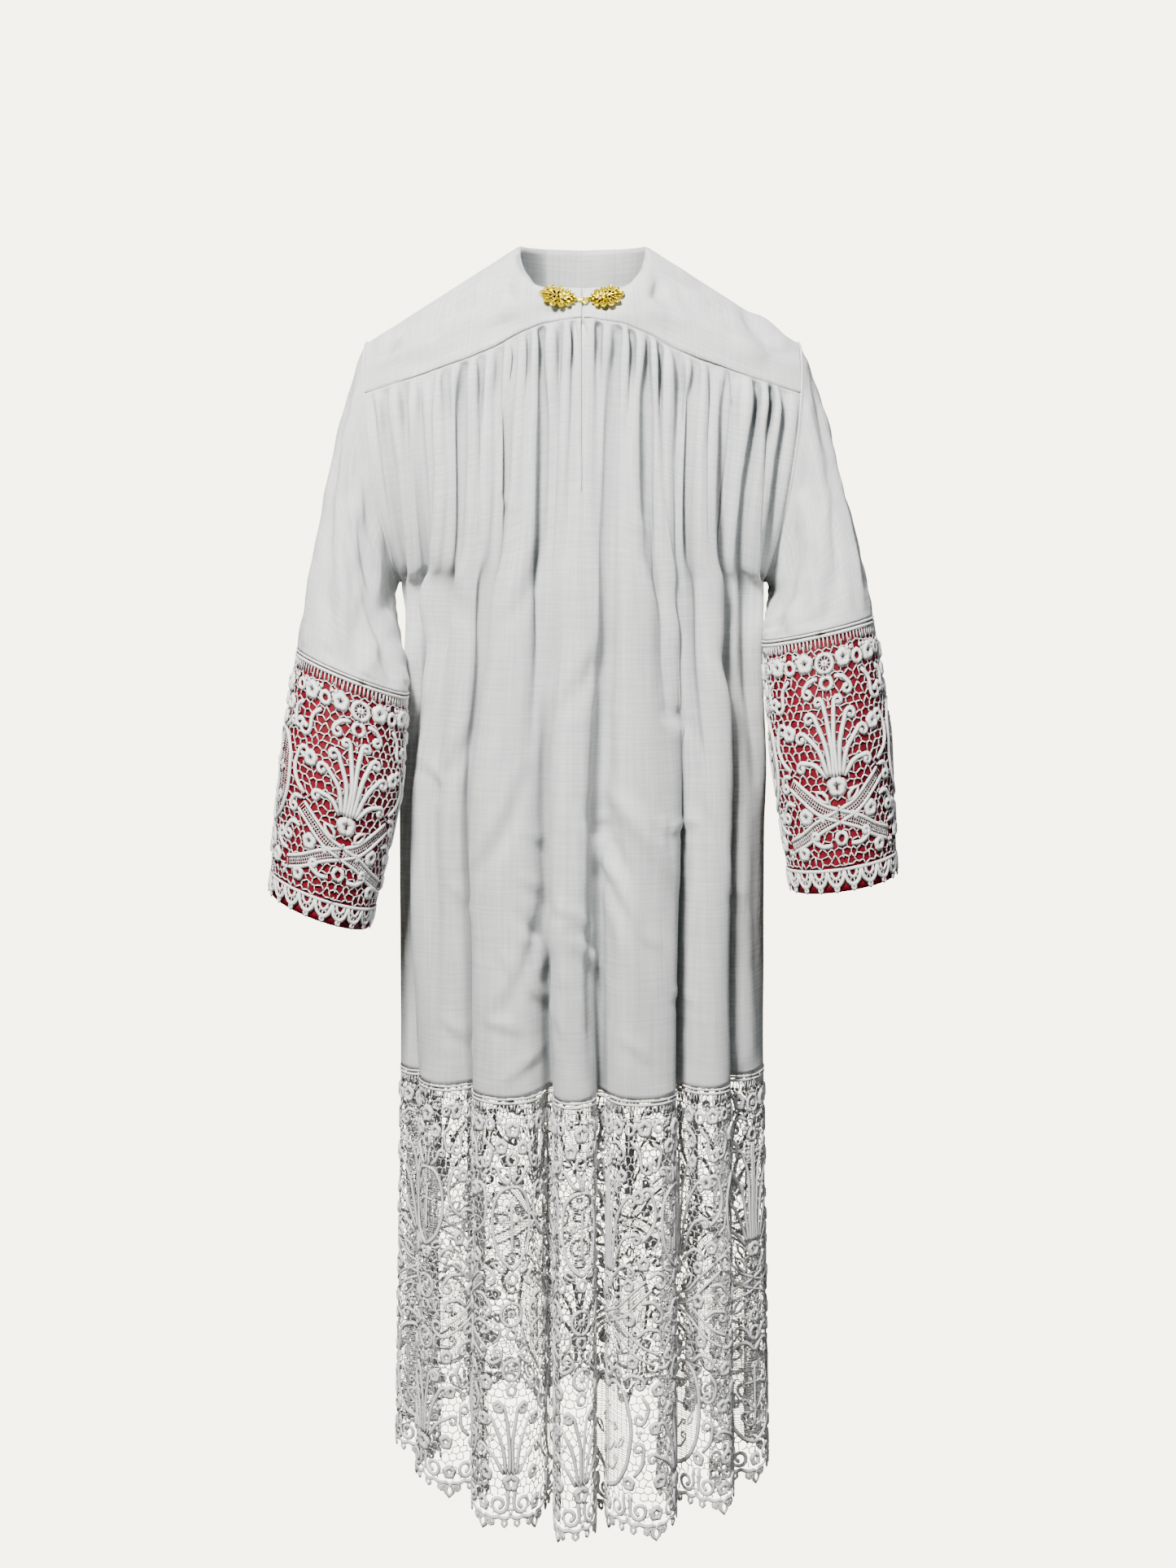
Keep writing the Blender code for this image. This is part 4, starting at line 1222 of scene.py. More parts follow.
def add_cross(chart, axis, top, foot, arm_level, arm):
    """Plain budded cross of raised cord."""
    side = 1.0 if axis == 0.0 else -1.0
    bud = 0.0030
    add_cord(chart, along([(axis + side * 0.0006, top), (axis + side * 0.0006, foot)], 0.008), 0.0014)
    add_cord(chart, along([(axis, arm_level), (axis + side * arm, arm_level)], 0.008), 0.0014)
    add_dot(chart, (axis, top - bud))
    add_dot(chart, (axis + side * 1.1 * bud, top + 0.3 * bud))
    add_dot(chart, (axis + side * (arm + bud), arm_level))
    for shift in (-bud, bud):
        add_dot(chart, (axis + side * (arm - 0.3 * bud), arm_level + 1.1 * shift))
    add_dot(chart, (axis, foot))


def add_heading(chart, depth):
    """Two fine cords and short upright bars along the top."""
    for level in (0.0010, 0.0056):
        add_cord(chart, along([(0.0, level), (HALF, level)], 0.007), FINE_CORD)
    count = 22
    for step in range(count):
        u = HALF * (step + 0.5) / count
        add_bar(chart, (u, 0.0056), (u, depth + 0.0016 * math.sin(2.3 * step)), BAR * 1.3)


def add_hem(chart, level, drop):
    """Hem of the deep lace: round scroll pairs over a wavy edge, with a bud between two."""
    wide = REPEAT / 3
    for spot in (0.5 * wide, 1.5 * wide):
        for side in (-1, 1):
            if side > 0 and spot > HALF - 1e-6:
                continue
            stem = [(spot + side * 0.0030, level - 0.0300), (spot + side * 0.0046, level - 0.0225),
                    (spot + side * 0.0036, level - 0.0140)]
            add_curl(chart, stem, 0.0116, -side, CORD, 1.3)
            edge = [(spot, level + 0.0010), (spot + side * 0.0080, level + 0.0046),
                    (spot + side * 0.0165, level + 0.0022), (spot + side * 0.0250, level + 0.0056),
                    (spot + side * 0.0310, level + 0.0040), (spot + side * 0.5 * wide, level + 0.0080)]
            add_cord(chart, along(edge), CORD)
            for out, low in ((0.0080, 0.0052), (0.0250, 0.0062)):
                add_leaf(chart, (spot + side * out, level + low),
                         (spot + side * (out + 0.0006), level + low + 0.0078), 0.0072, CORD * 0.8)
        add_berries(chart, (spot, level - 0.0045))
    for spot in (0.0, wide):
        add_leaf(chart, (spot, level + 0.0070), (spot, level + drop), 0.0108, CORD)
        add_flower(chart, (spot, level - 0.0085), 0.0086)
        for side in (-1, 1):
            if spot + side * 0.0050 > 0:
                add_leaf(chart, (spot + side * 0.0044, level + 0.0075),
                         (spot + side * 0.0105, level + 0.68 * drop), 0.0062, CORD * 0.8)


def add_fans(chart, level, count, drop):
    """Hem of rounded fans with spokes."""
    wide = HALF / count
    for step in range(count):
        middle = np.array((wide * (step + 0.5), level))
        for share, points, cord in ((1.0, 9, CORD), (0.52, 6, FINE_CORD)):
            angles = np.linspace(0.0, math.pi, points)
            arc = np.stack((-0.48 * wide * np.cos(angles), drop * np.sin(angles)), axis=1)
            add_cord(chart, middle + share * arc, cord)
        for angle in np.radians((24, 57, 90, 123, 156)):
            ray = np.array((-0.48 * wide * math.cos(angle), drop * math.sin(angle)))
            add_bar(chart, middle + 0.52 * ray, middle + 0.98 * ray, BAR * 1.3)
        add_leaf(chart, middle + (0.0, drop), middle + (0.0, drop + 0.0052), 0.0052)
    add_cord(chart, along([(0.0, level - 0.0012), (HALF, level - 0.0012)], 0.007), FINE_CORD)


def distance_to(points, targets):
    """Distance from each point to the nearest target."""
    nearest = np.full(len(points), 1.0)
    for start in range(0, len(targets), 400):
        block = targets[start:start + 400]
        gap = np.linalg.norm(points[:, None] - block[None], axis=2).min(axis=1)
        nearest = np.minimum(nearest, gap)
    return nearest


def add_net(chart, top, bottom):
    """Uneven six-sided net behind the motifs, left out where they cover it."""
    rows = int((bottom - top) / (NET_CELL * 0.75 * 1.1547)) + 2
    columns = int(HALF / NET_CELL) + 3
    radius = NET_CELL / math.sqrt(3)
    corners = {}
    edges = set()
    for row in range(rows):
        for place in range(-1, columns):
            centre_u = (place + 0.5 * (row % 2)) * NET_CELL
            centre_v = top + row * 1.5 * radius
            ring = []
            for step in range(6):
                angle = math.radians(60 * step + 30)
                u = centre_u + radius * math.cos(angle)
                v = centre_v + radius * math.sin(angle)
                key = (round(u * 4000), round(v * 4000))
                if key not in corners:
                    corners[key] = np.array((u, v)) + CHANCE.normal(0.0, NET_JITTER, 2)
                ring.append(key)
            for step in range(6):
                edges.add(tuple(sorted((ring[step], ring[(step + 1) % 6]))))
    samples = np.concatenate([line for line, _, _ in chart["cords"]])
    samples = np.concatenate([samples, 0.5 * (samples[1:] + samples[:-1])])
    lines = np.array([(corners[a], corners[b]) for a, b in sorted(edges)])
    keep = (lines[:, :, 0].max(axis=1) > 0.0) & (lines[:, :, 0].min(axis=1) < HALF)
    keep &= (lines[:, :, 1].min(axis=1) > top - 0.004) & (lines[:, :, 1].max(axis=1) < bottom)
    lines = lines[keep]
    lines[:, :, 0] = np.clip(lines[:, :, 0], 0.0, HALF)
    lines = lines[np.linalg.norm(lines[:, 1] - lines[:, 0], axis=1) > 0.002]
    middles = lines.mean(axis=1)
    near = np.maximum(distance_to(lines[:, 0], samples), distance_to(lines[:, 1], samples))
    near = np.maximum(near, distance_to(middles, samples))
    shown = near > 0.0022
    for u, v, reach in chart["motifs"]:
        shown &= np.hypot(middles[:, 0] - u, middles[:, 1] - v) > reach * 0.95
    for middle, half_wide in chart["bands"]:
        shown &= distance_to(middles, middle) > half_wide
    for axis, edge in chart["shields"]:
        top_v, bottom_v = edge[:, 1].min(), edge[:, 1].max()
        order = np.argsort(edge[:, 1])
        reach = np.interp(middles[:, 1], edge[order, 1], np.abs(edge[order, 0] - axis))
        inside = (np.abs(middles[:, 0] - axis) < reach) & (middles[:, 1] > top_v) & (middles[:, 1] < bottom_v)
        shown &= ~inside
    for line in lines[shown]:
        add_bar(chart, line[0], line[1], BAR)


def add_berries(chart, centre, size=0.0030):
    """Three small buttons in a cluster."""
    for angle in (90, 210, 330):
        turn = math.radians(angle)
        spot = (centre[0] + size * math.cos(turn), centre[1] + size * math.sin(turn))
        add_dot(chart, spot, size * 0.85)


def add_fountain(chart, axis, base, stems, wide=CORD):
    """Stems that rise from a flower and curl outwards: (side step, rise) points and curl radius."""
    side = 1.0 if axis == 0.0 else -1.0
    for points, radius in stems:
        line = [(axis + side * out, base - rise) for out, rise in points]
        add_curl(chart, line, radius, int(side), wide)
    add_flower(chart, (axis, base + 0.0095), 0.0108)


def pens(chart):
    """The motifs, each ready to be drawn on one chart."""
    motifs = (add_ring, add_flower, add_curl, add_leaf, add_berries,
              add_cord, add_band, add_rosette, add_fountain)
    return [partial(motif, chart) for motif in motifs]


def add_upper_rows(chart):
    """Heading, and the row of flowers and rings under it."""
    ring, flower, _, _, berries, _, _, rosette, _ = pens(chart)
    add_heading(chart, 0.0165)
    rosette((0.0, 0.0335), 0.0095)
    flower((0.0235, 0.0310), 0.0100)
    ring((0.0430, 0.0330), 0.0062)
    flower((0.0620, 0.0310), 0.0100)
    ring((0.0800, 0.0300), 0.0056)
    flower((HALF, 0.0350), 0.0110)
    berries((0.0330, 0.0240))
    berries((0.0525, 0.0240))
    berries((0.0715, 0.0245))
    berries((0.0930, 0.0245))


def flounce_chart():
    """Half a repeat of the deep lace."""
    chart = new_chart()
    ring, flower, curl, leaf, berries, cord, band, rosette, fountain = pens(chart)
    add_upper_rows(chart)
    curl([(0.0440, 0.0460), (0.0540, 0.0560), (0.0560, 0.0740)], 0.0084, -1)
    curl([(0.0100, 0.0520), (0.0220, 0.0480), (0.0330, 0.0560)], 0.0072, 1)
    curl([(0.0720, 0.0480), (0.0820, 0.0560), (0.0790, 0.0740)], 0.0074, 1)
    flower((0.0955, 0.0540), 0.0088)
    flower((0.0530, 0.1060), 0.0090)
    curl([(0.0560, 0.1560), (0.0690, 0.1440), (0.0750, 0.1220), (0.0700, 0.1020)], 0.0082, -1)
    curl([(0.0700, 0.1640), (0.0790, 0.1560), (0.0780, 0.1420)], 0.0050, -1, FINE_CORD)
    berries((0.0120, 0.0640))
    berries((0.0700, 0.0900))
    flower((0.0300, 0.0840), 0.0080)
    berries((0.0100, 0.0930))
    # Fountain of stems in the middle
    cord(along([(0.0016, 0.196), (0.0016, 0.150), (0.0016, 0.080)]), CORD * 0.85)
    ring((0.0, 0.0710), 0.0066)
    fountain(0.0, 0.196, (
        (((0.0050, 0.000), (0.0065, 0.046), (0.0100, 0.082), (0.0170, 0.104)), 0.0060),
        (((0.0080, 0.001), (0.0140, 0.041), (0.0240, 0.070), (0.0370, 0.088)), 0.0072),
        (((0.0100, 0.000), (0.0220, 0.028), (0.0360, 0.045), (0.0480, 0.049)), 0.0064),
        (((0.0120, -0.004), (0.0240, 0.008), (0.0350, 0.014), (0.0440, 0.010)), 0.0052),
    ))
    berries((0.0185, 0.1300))
    berries((0.0330, 0.1330))
    flower((0.0590, 0.1800), 0.0086)
    # Small shield with its cross
    small = [(HALF, 0.098), (HALF - 0.0100, 0.1000), (HALF - 0.0205, 0.1110), (HALF - 0.0260, 0.1310),
             (HALF - 0.0240, 0.1560), (HALF - 0.0150, 0.1770), (HALF, 0.1910)]
    add_shield(chart, small, HALF, 0.0027, CORD)
    add_cross(chart, HALF, 0.118, 0.174, 0.136, 0.0110)
    cord(along([(HALF - 0.0035, 0.096), (HALF - 0.0028, 0.084), (HALF - 0.0060, 0.076)]), CORD * 0.8)
    curl([(HALF - 0.0060, 0.095), (HALF - 0.0140, 0.089), (HALF - 0.0200, 0.078)], 0.0056, -1)
    ring((HALF, 0.0670), 0.0070)
    ring((HALF, 0.2000), 0.0062)
    leaf((HALF - 0.0090, 0.192), (HALF - 0.0240, 0.184), 0.0080, CORD * 0.8)
    berries((HALF - 0.0310, 0.1120))
    # Ladder bands crossing in the middle
    band([(0.0, 0.246), (0.024, 0.237), (0.046, 0.219), (0.066, 0.203)], 0.0062)
    band([(0.0, 0.246), (0.026, 0.256), (0.052, 0.275), (0.076, 0.288)], 0.0062)
    curl([(0.066, 0.196), (0.076, 0.190), (0.086, 0.196)], 0.0080, 1)
    curl([(0.076, 0.295), (0.086, 0.297), (0.096, 0.290)], 0.0074, -1)
    rosette((HALF, 0.2400), 0.0130, 12)
    ring((HALF, 0.2620), 0.0060)
    curl([(0.056, 0.224), (0.070, 0.222), (0.082, 0.234)], 0.0074, 1)
    curl([(0.050, 0.262), (0.062, 0.252), (0.076, 0.254)], 0.0066, 1)
    curl([(0.086, 0.274), (0.094, 0.266), (0.096, 0.256)], 0.0050, -1, FINE_CORD)
    leaf((0.013, 0.230), (0.029, 0.213), 0.0105, CORD * 0.85)
    leaf((0.014, 0.263), (0.030, 0.281), 0.0105, CORD * 0.85)
    flower((0.0400, 0.2420), 0.0090)
    berries((0.0210, 0.2450))
    berries((0.0560, 0.2430))
    flower((0.0395, 0.2040), 0.0078)
    flower((0.0450, 0.2880), 0.0084)
    # Large shield with its cross and scrolls
    large = [(0.0, 0.3260), (0.0120, 0.3160), (0.0280, 0.3200), (0.0390, 0.3430), (0.0415, 0.3730),
             (0.0370, 0.4030), (0.0220, 0.4270), (0.0, 0.4380)]
    add_shield(chart, large, 0.0, 0.0027, CORD * 1.1)
    add_cross(chart, 0.0, 0.345, 0.420, 0.365, 0.0170)
    curl([(0.0010, 0.417), (0.0110, 0.416), (0.0200, 0.405)], 0.0052, -1, 0.0015)
    curl([(0.0010, 0.398), (0.0080, 0.393), (0.0130, 0.385)], 0.0040, 1, 0.0014)
    leaf((0.0240, 0.388), (0.0320, 0.372), 0.0060, 0.0013)
    ring((0.0, 0.3050), 0.0076)
    curl([(0.0060, 0.313), (0.0130, 0.302), (0.0220, 0.298)], 0.0062, 1)
    ring((0.0, 0.2850), 0.0066)
    berries((0.0150, 0.2880))
    curl([(0.0320, 0.312), (0.0440, 0.303), (0.0560, 0.306)], 0.0074, 1)
    # Second fountain between the large shields
    rosette((HALF, 0.3030), 0.0115)
    ring((HALF, 0.3250), 0.0058)
    fountain(HALF, 0.420, (
        (((0.0020, 0.000), (0.0026, 0.042), (0.0085, 0.074)), 0.0060),
        (((0.0060, 0.000), (0.0115, 0.034), (0.0240, 0.060)), 0.0070),
        (((0.0085, 0.000), (0.0210, 0.018), (0.0370, 0.029)), 0.0064),
    ))
    flower((0.0935, 0.3450), 0.0080)
    berries((0.0860, 0.3790))
    # Scrolls and flowers that fill the ground
    curl([(0.0560, 0.326), (0.0640, 0.340), (0.0600, 0.354)], 0.0076, 1)
    flower((0.0770, 0.3200), 0.0090)
    flower((0.0730, 0.3620), 0.0080)
    curl([(0.0460, 0.416), (0.0560, 0.404), (0.0590, 0.386)], 0.0072, -1)
    flower((0.0780, 0.4220), 0.0090)
    flower((0.0395, 0.4240), 0.0084)
    berries((0.0520, 0.3680))
    add_hem(chart, 0.466, 0.0210)
    add_net(chart, 0.0150, 0.469)
    return chart


def cuff_chart():
    """Half a repeat of the cuff lace, with the flounce's motifs set closer."""
    chart = new_chart()
    ring, flower, curl, leaf, berries, _, band, rosette, fountain = pens(chart)
    add_upper_rows(chart)
    curl([(0.0460, 0.0460), (0.0560, 0.0560), (0.0570, 0.0720)], 0.0080, -1)
    curl([(0.0720, 0.0460), (0.0820, 0.0540), (0.0790, 0.0700)], 0.0070, 1)
    flower((0.0960, 0.0540), 0.0084)
    ring((0.0, 0.0540), 0.0066)
    curl([(0.0100, 0.0480), (0.0200, 0.0500), (0.0280, 0.0580)], 0.0062, 1)
    flower((0.0520, 0.1010), 0.0086)
    fountain(0.0, 0.150, (
        (((0.0018, 0.000), (0.0022, 0.045), (0.0070, 0.078)), 0.0052),
        (((0.0050, 0.001), (0.0085, 0.036), (0.0190, 0.064)), 0.0062),
        (((0.0080, 0.001), (0.0170, 0.030), (0.0320, 0.047)), 0.0066),
        (((0.0100, 0.000), (0.0230, 0.015), (0.0380, 0.018)), 0.0058),
    ))
    curl([(0.0540, 0.1400), (0.0660, 0.1300), (0.0720, 0.1120), (0.0680, 0.0960)], 0.0074, -1)
    shield = [(HALF, 0.0840), (HALF - 0.0120, 0.0860), (HALF - 0.0240, 0.0980), (HALF - 0.0300, 0.1200),
              (HALF - 0.0280, 0.1480), (HALF - 0.0170, 0.1720), (HALF, 0.1860)]
    add_shield(chart, shield, HALF, 0.0026, CORD)
    add_cross(chart, HALF, 0.104, 0.168, 0.123, 0.0140)
    curl([(HALF - 0.0010, 0.165), (HALF - 0.0090, 0.164), (HALF - 0.0160, 0.156)], 0.0044, 1, 0.0014)
    ring((HALF, 0.0720), 0.0062)
    curl([(HALF - 0.0080, 0.081), (HALF - 0.0170, 0.076), (HALF - 0.0240, 0.068)], 0.0052, -1)
    band([(0.0, 0.190), (0.020, 0.182), (0.040, 0.166), (0.056, 0.153)], 0.0060)
    band([(0.0, 0.190), (0.022, 0.198), (0.046, 0.211), (0.068, 0.219)], 0.0060)
    curl([(0.056, 0.146), (0.066, 0.146), (0.072, 0.154)], 0.0064, 1)
    flower((0.0400, 0.1880), 0.0086)
    leaf((0.012, 0.175), (0.024, 0.163), 0.0090, CORD * 0.85)
    berries((0.0200, 0.1900))
    curl([(0.054, 0.176), (0.066, 0.174), (0.076, 0.184)], 0.0072, 1)
    curl([(0.070, 0.205), (0.080, 0.204), (0.088, 0.196)], 0.0066, -1)
    flower((0.0900, 0.2180), 0.0088)
    rosette((HALF, 0.2040), 0.0105)
    ring((0.0, 0.2130), 0.0064)
    curl([(0.0120, 0.219), (0.0240, 0.220), (0.0340, 0.214)], 0.0056, -1)
    flower((0.0500, 0.2260), 0.0078)
    berries((0.0720, 0.2270))
    add_fans(chart, 0.246, 5, 0.0155)
    add_net(chart, 0.0150, 0.246)
    return chart


def mirrored(rods):
    """Rods of half a repeat together with their mirror images across u = 0."""
    return rods + [(line * (-1.0, 1.0), wide, closed) for line, wide, closed in rods]


def sweep_rods(rods, sides, top, under):
    """Vertices (u, v, height), quads and end triangles of closed rods along flat lines."""
    spots, quads, ends, total = [], [], [], 0
    turns = 2 * math.pi * np.arange(sides) / sides
    for line, wide, closed in rods:
        if closed:
            way = np.roll(line, -1, axis=0) - np.roll(line, 1, axis=0)
        else:
            way = np.gradient(line, axis=0)
        way = way / np.maximum(np.linalg.norm(way, axis=1, keepdims=True), 1e-9)
        across = np.stack((-way[:, 1], way[:, 0]), axis=1)
        size = np.ones(len(line)) * wide
        if not closed:
            size[[0, -1]] *= 0.75
        side = size[:, None] * np.cos(turns)
        rise = size[:, None] * np.sin(turns)
        rise = np.where(rise > 0, rise * top, rise * under)
        flat = line[:, None, :] + across[:, None, :] * side[:, :, None]
        spots.append(np.concatenate((flat, rise[:, :, None]), axis=2).reshape(-1, 3))
        ring = total + np.arange(len(line) * sides).reshape(len(line), sides)
        after = np.roll(ring, -1, axis=1)
        if closed:
            below, below_after = np.roll(ring, -1, axis=0), np.roll(after, -1, axis=0)
            quads.append(np.stack((ring, after, below_after, below), axis=-1).reshape(-1, 4))
        else:
            quads.append(np.stack((ring[:-1], after[:-1], after[1:], ring[1:]), axis=-1).reshape(-1, 4))
            for cap in (ring[0][::-1], ring[-1]):
                ends.extend((cap[0], cap[step], cap[step + 1]) for step in range(1, sides - 1))
        total += len(line) * sides
    return np.concatenate(spots), np.concatenate(quads), np.array(ends, int).reshape(-1, 3)


def repeated(shape, count):
    """A repeat's shape laid side by side, from 0 to the whole width."""
    spots, quads, ends = shape
    shift = np.arange(count)
    flat = np.tile(spots, (count, 1))
    flat[:, 0] += np.repeat(REPEAT * (shift + 0.5), len(spots))
    step = (shift * len(spots))[:, None, None]
    return flat, (quads[None] + step).reshape(-1, 4), (ends[None] + step).reshape(-1, 3)


def lay_on(grid, normal, flat, lift, closed=False):
    """Places on a grid of chart points (u as a share of the width, v in metres, height)."""
    rows, columns = grid.shape[:2]
    down = knots_down(grid)
    row = np.interp(flat[:, 1], down, np.arange(rows))
    row = np.clip(row, 0, rows - 1.0001)
    if closed:
        place = np.mod(flat[:, 0], 1.0) * columns
    else:
        place = np.clip(flat[:, 0], 0.0, 1.0) * (columns - 1)
        place = np.minimum(place, columns - 1.0001)
    top, left = row.astype(int), place.astype(int)
    below, right = top + 1, (left + 1) % columns if closed else left + 1
    left = left % columns
    down_part, across_part = (row - top)[:, None], (place - np.floor(place))[:, None]
    laid = []
    for field in (grid, normal):
        upper = field[top, left] * (1 - across_part) + field[top, right] * across_part
        lower = field[below, left] * (1 - across_part) + field[below, right] * across_part
        laid.append(upper * (1 - down_part) + lower * down_part)
    return laid[0] + laid[1] * (flat[:, 2:] + lift)


def solid_lace(name, spots, quads, ends, material):
    """Mesh object of laid lace, with its faces turned outwards."""
    mesh = bpy.data.meshes.new(name)
    mesh.vertices.add(len(spots))
    mesh.vertices.foreach_set("co", spots.astype(np.float32).ravel())
    mesh.loops.add(quads.size + ends.size)
    mesh.loops.foreach_set("vertex_index", np.concatenate((quads.ravel(), ends.ravel())).astype(np.int32))
    starts = np.concatenate((np.arange(len(quads)) * 4, quads.size + np.arange(len(ends)) * 3))
    mesh.polygons.add(len(starts))
    mesh.polygons.foreach_set("loop_start", starts.astype(np.int32))
    mesh.update(calc_edges=True)
    mesh.validate()
    mesh.materials.append(material)
    turn_outwards(mesh)
    return finished(name, mesh)


def lace_shapes(chart, fuller):
    """Raised cords and fine ground of a whole repeat, both as swept solids."""
    cords = [(line, wide * fuller, closed) for line, wide, closed in chart["cords"]]
    bars = [(line, wide * fuller, False) for line, wide in chart["bars"]]
    return sweep_rods(mirrored(cords), 4, 0.70, 0.35), sweep_rods(mirrored(bars), 3, 1.0, 1.0)


def even_columns(cage, rows, columns, beyond):
    """Fine flounce grid with columns evenly spaced along the hem, carried on below it."""
    across = knots_down(cage.transpose(1, 0, 2))
    fine = np.linspace(0.0, across[-1], HEM_SAMPLES)
    length = knots_along(spline(cage[-1][:, None, :], across, fine)[:, 0])
    even = np.interp(np.linspace(0.0, length[-1], columns), length, fine)
    grid = finer_columns(finer_rows(cage, rows), across, even)
    return carried_on(grid, beyond), length[-1]


def build_flounce(front, shapes, material):
    """Deep lace of one side, in raised cords and the ground between them."""
    side = "front" if front else "back"
    grid, hem = even_columns(flounce_cage(front), *FLOUNCE_GRID, HEM_BEYOND)
    normal = normals_of(grid, away_from_axis(grid))
    count = int(round(hem / REPEAT))
    pieces = []
    for part, shape, lift in (("cords", shapes[0], 0.0002), ("ground", shapes[1], -0.0004)):
        flat, quads, ends = repeated(shape, count)
        wander = 0.0009 * smooth_noise(flat[:, 0], flat[:, 1], 0.09, 0.03, 8)
        drift = 0.0009 * smooth_noise(flat[:, 0], flat[:, 1], 0.09, 0.03, 8)
        edge = np.clip(np.minimum(flat[:, 0], count * REPEAT - flat[:, 0]) / 0.02, 0.0, 1.0)
        fade = np.clip(flat[:, 1] / 0.03, 0.0, 1.0)
        flat[:, 0] = (flat[:, 0] + wander * edge) / (count * REPEAT)
        flat[:, 1] = flat[:, 1] + drift * fade
        spots = lay_on(grid, normal, flat, lift)
        pieces.append(solid_lace(f"flounce_{side}_{part}", spots, quads, ends, material))
    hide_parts("flounce_" + side)
    return pieces


def build_cuff_lace(name, shapes, material):
    """Lace tube over a cuff's lining, in raised cords and the ground between them."""
    grid = cuff_grid(name, 60, 200, 0.0, CUFF_BEYOND)
    centre = grid.mean(axis=1, keepdims=True)
    normal = normals_of(grid, grid - centre, closed=True)
    stretch = knots_down(grid)[-2] / CUFF_LENGTH
    pieces = []
    for part, shape, lift in (("cords", shapes[0], 0.0004), ("ground", shapes[1], -0.0001)):
        flat, quads, ends = repeated(shape, 2)
        wander = 0.0007 * smooth_noise(flat[:, 0], flat[:, 1], 0.09, 0.03, 8)
        flat[:, 0] = (flat[:, 0] + wander) / (2 * REPEAT) + CUFF_TURN[name]
        flat[:, 1] *= stretch
        spots = lay_on(grid, normal, flat, lift, closed=True)
        pieces.append(solid_lace(f"cuff_lace_{name}_{part}", spots, quads, ends, material))
    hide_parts(f"cuff_lace_{name}_front", f"cuff_lace_{name}_back")
    return pieces


# Clasp

CLASP_OUT = 0.0056
PLATE_STAND = 0.0018
CLASP_ROWS = (1, 2)
CLASP_COLUMNS = (0, 5)
LOBES = (
    # along, up, half length, half width, turn in degrees
    (0.0362, 0.0002, 0.0066, 0.0058, 0), (0.0325, 0.0072, 0.0060, 0.0050, 38),
    (0.0320, -0.0074, 0.0062, 0.0052, -40), (0.0262, 0.0108, 0.0058, 0.0054, 64),
    (0.0250, -0.0112, 0.0060, 0.0055, -66), (0.0182, 0.0106, 0.0054, 0.0052, 92),
    (0.0170, -0.0110, 0.0056, 0.0053, -94), (0.0108, 0.0088, 0.0050, 0.0046, 118),
    (0.0098, -0.0086, 0.0050, 0.0046, -120), (0.0062, 0.0046, 0.0040, 0.0036, 148),
    (0.0058, -0.0044, 0.0040, 0.0036, -150),
)
RIBS = (
    # along, up, half length, half width, turn in degrees
    (0.0290, 0.0000, 0.0100, 0.0011, 0), (0.0285, 0.0040, 0.0060, 0.0009, 40),
    (0.0280, -0.0042, 0.0060, 0.0009, -42), (0.0240, 0.0062, 0.0056, 0.0009, 64),
    (0.0232, -0.0066, 0.0058, 0.0009, -66), (0.0182, 0.0078, 0.0036, 0.0008, 92),
    (0.0172, -0.0080, 0.0036, 0.0008, -94), (0.0070, 0.0020, 0.0040, 0.0009, 150),
    (0.0068, -0.0018, 0.0040, 0.0009, -152),
)
BEADS = (
    # along, up, radius
    (0.0225, 0.0018, 0.0013), (0.0222, -0.0020, 0.0013), (0.0262, 0.0062, 0.0011),
    (0.0255, -0.0064, 0.0011), (0.0312, 0.0030, 0.0010), (0.0308, -0.0032, 0.0010),
    (0.0210, 0.0056, 0.0011), (0.0205, -0.0060, 0.0011), (0.0348, 0.0034, 0.0009),
    (0.0346, -0.0036, 0.0009), (0.0030, 0.0000, 0.0022), (0.0118, 0.0064, 0.0011),
    (0.0108, -0.0062, 0.0011),
)
HOOK_LINE = (
    # along, up, out
    (0.0040, 0.0, 0.0006), (-0.0020, 0.0, 0.0010), (-0.0070, 0.0, 0.0022),
    (-0.0098, 0.0, 0.0016), (-0.0100, 0.0, 0.0002),
)
FLOWER_AT = 0.0138
FLOWER_PETALS = 6
PETAL_OUT = 0.0040
BED_AT = 0.0195
SQUEEZE = 0.92
EYE_AT = (-0.0040, 0.0, 0.0016)


def clasp_place(side):
    """Where a clasp plate lies on its front yoke: centre and three directions."""
    grid = yoke_cage(True, side)
    above, below = CLASP_ROWS
    inner, outer = CLASP_COLUMNS
    first = 0.5 * (grid[above, inner] + grid[below, inner])
    last = 0.5 * (grid[above, outer] + grid[below, outer])
    across = Vector((last - first) * side).normalized()
    down = Vector(grid[below, inner + 2] - grid[above, inner + 2]).normalized()
    out = down.cross(across).normalized()
    if out.y > 0:
        out = -out
    up = out.cross(across).normalized()
    if up.z < 0:
        up = -up
    return Vector(first), across, up, out


def top_face(piece):
    """Select only the highest face of a piece, in edit mode."""
    bpy.ops.mesh.select_mode(type="FACE")
    bpy.ops.mesh.select_all(action="DESELECT")
    shape = bmesh.from_edit_mesh(piece.data)
    highest = max(shape.faces, key=lambda face: face.calc_center_median().z)
    highest.select_set(True)
    bmesh.update_edit_mesh(piece.data)


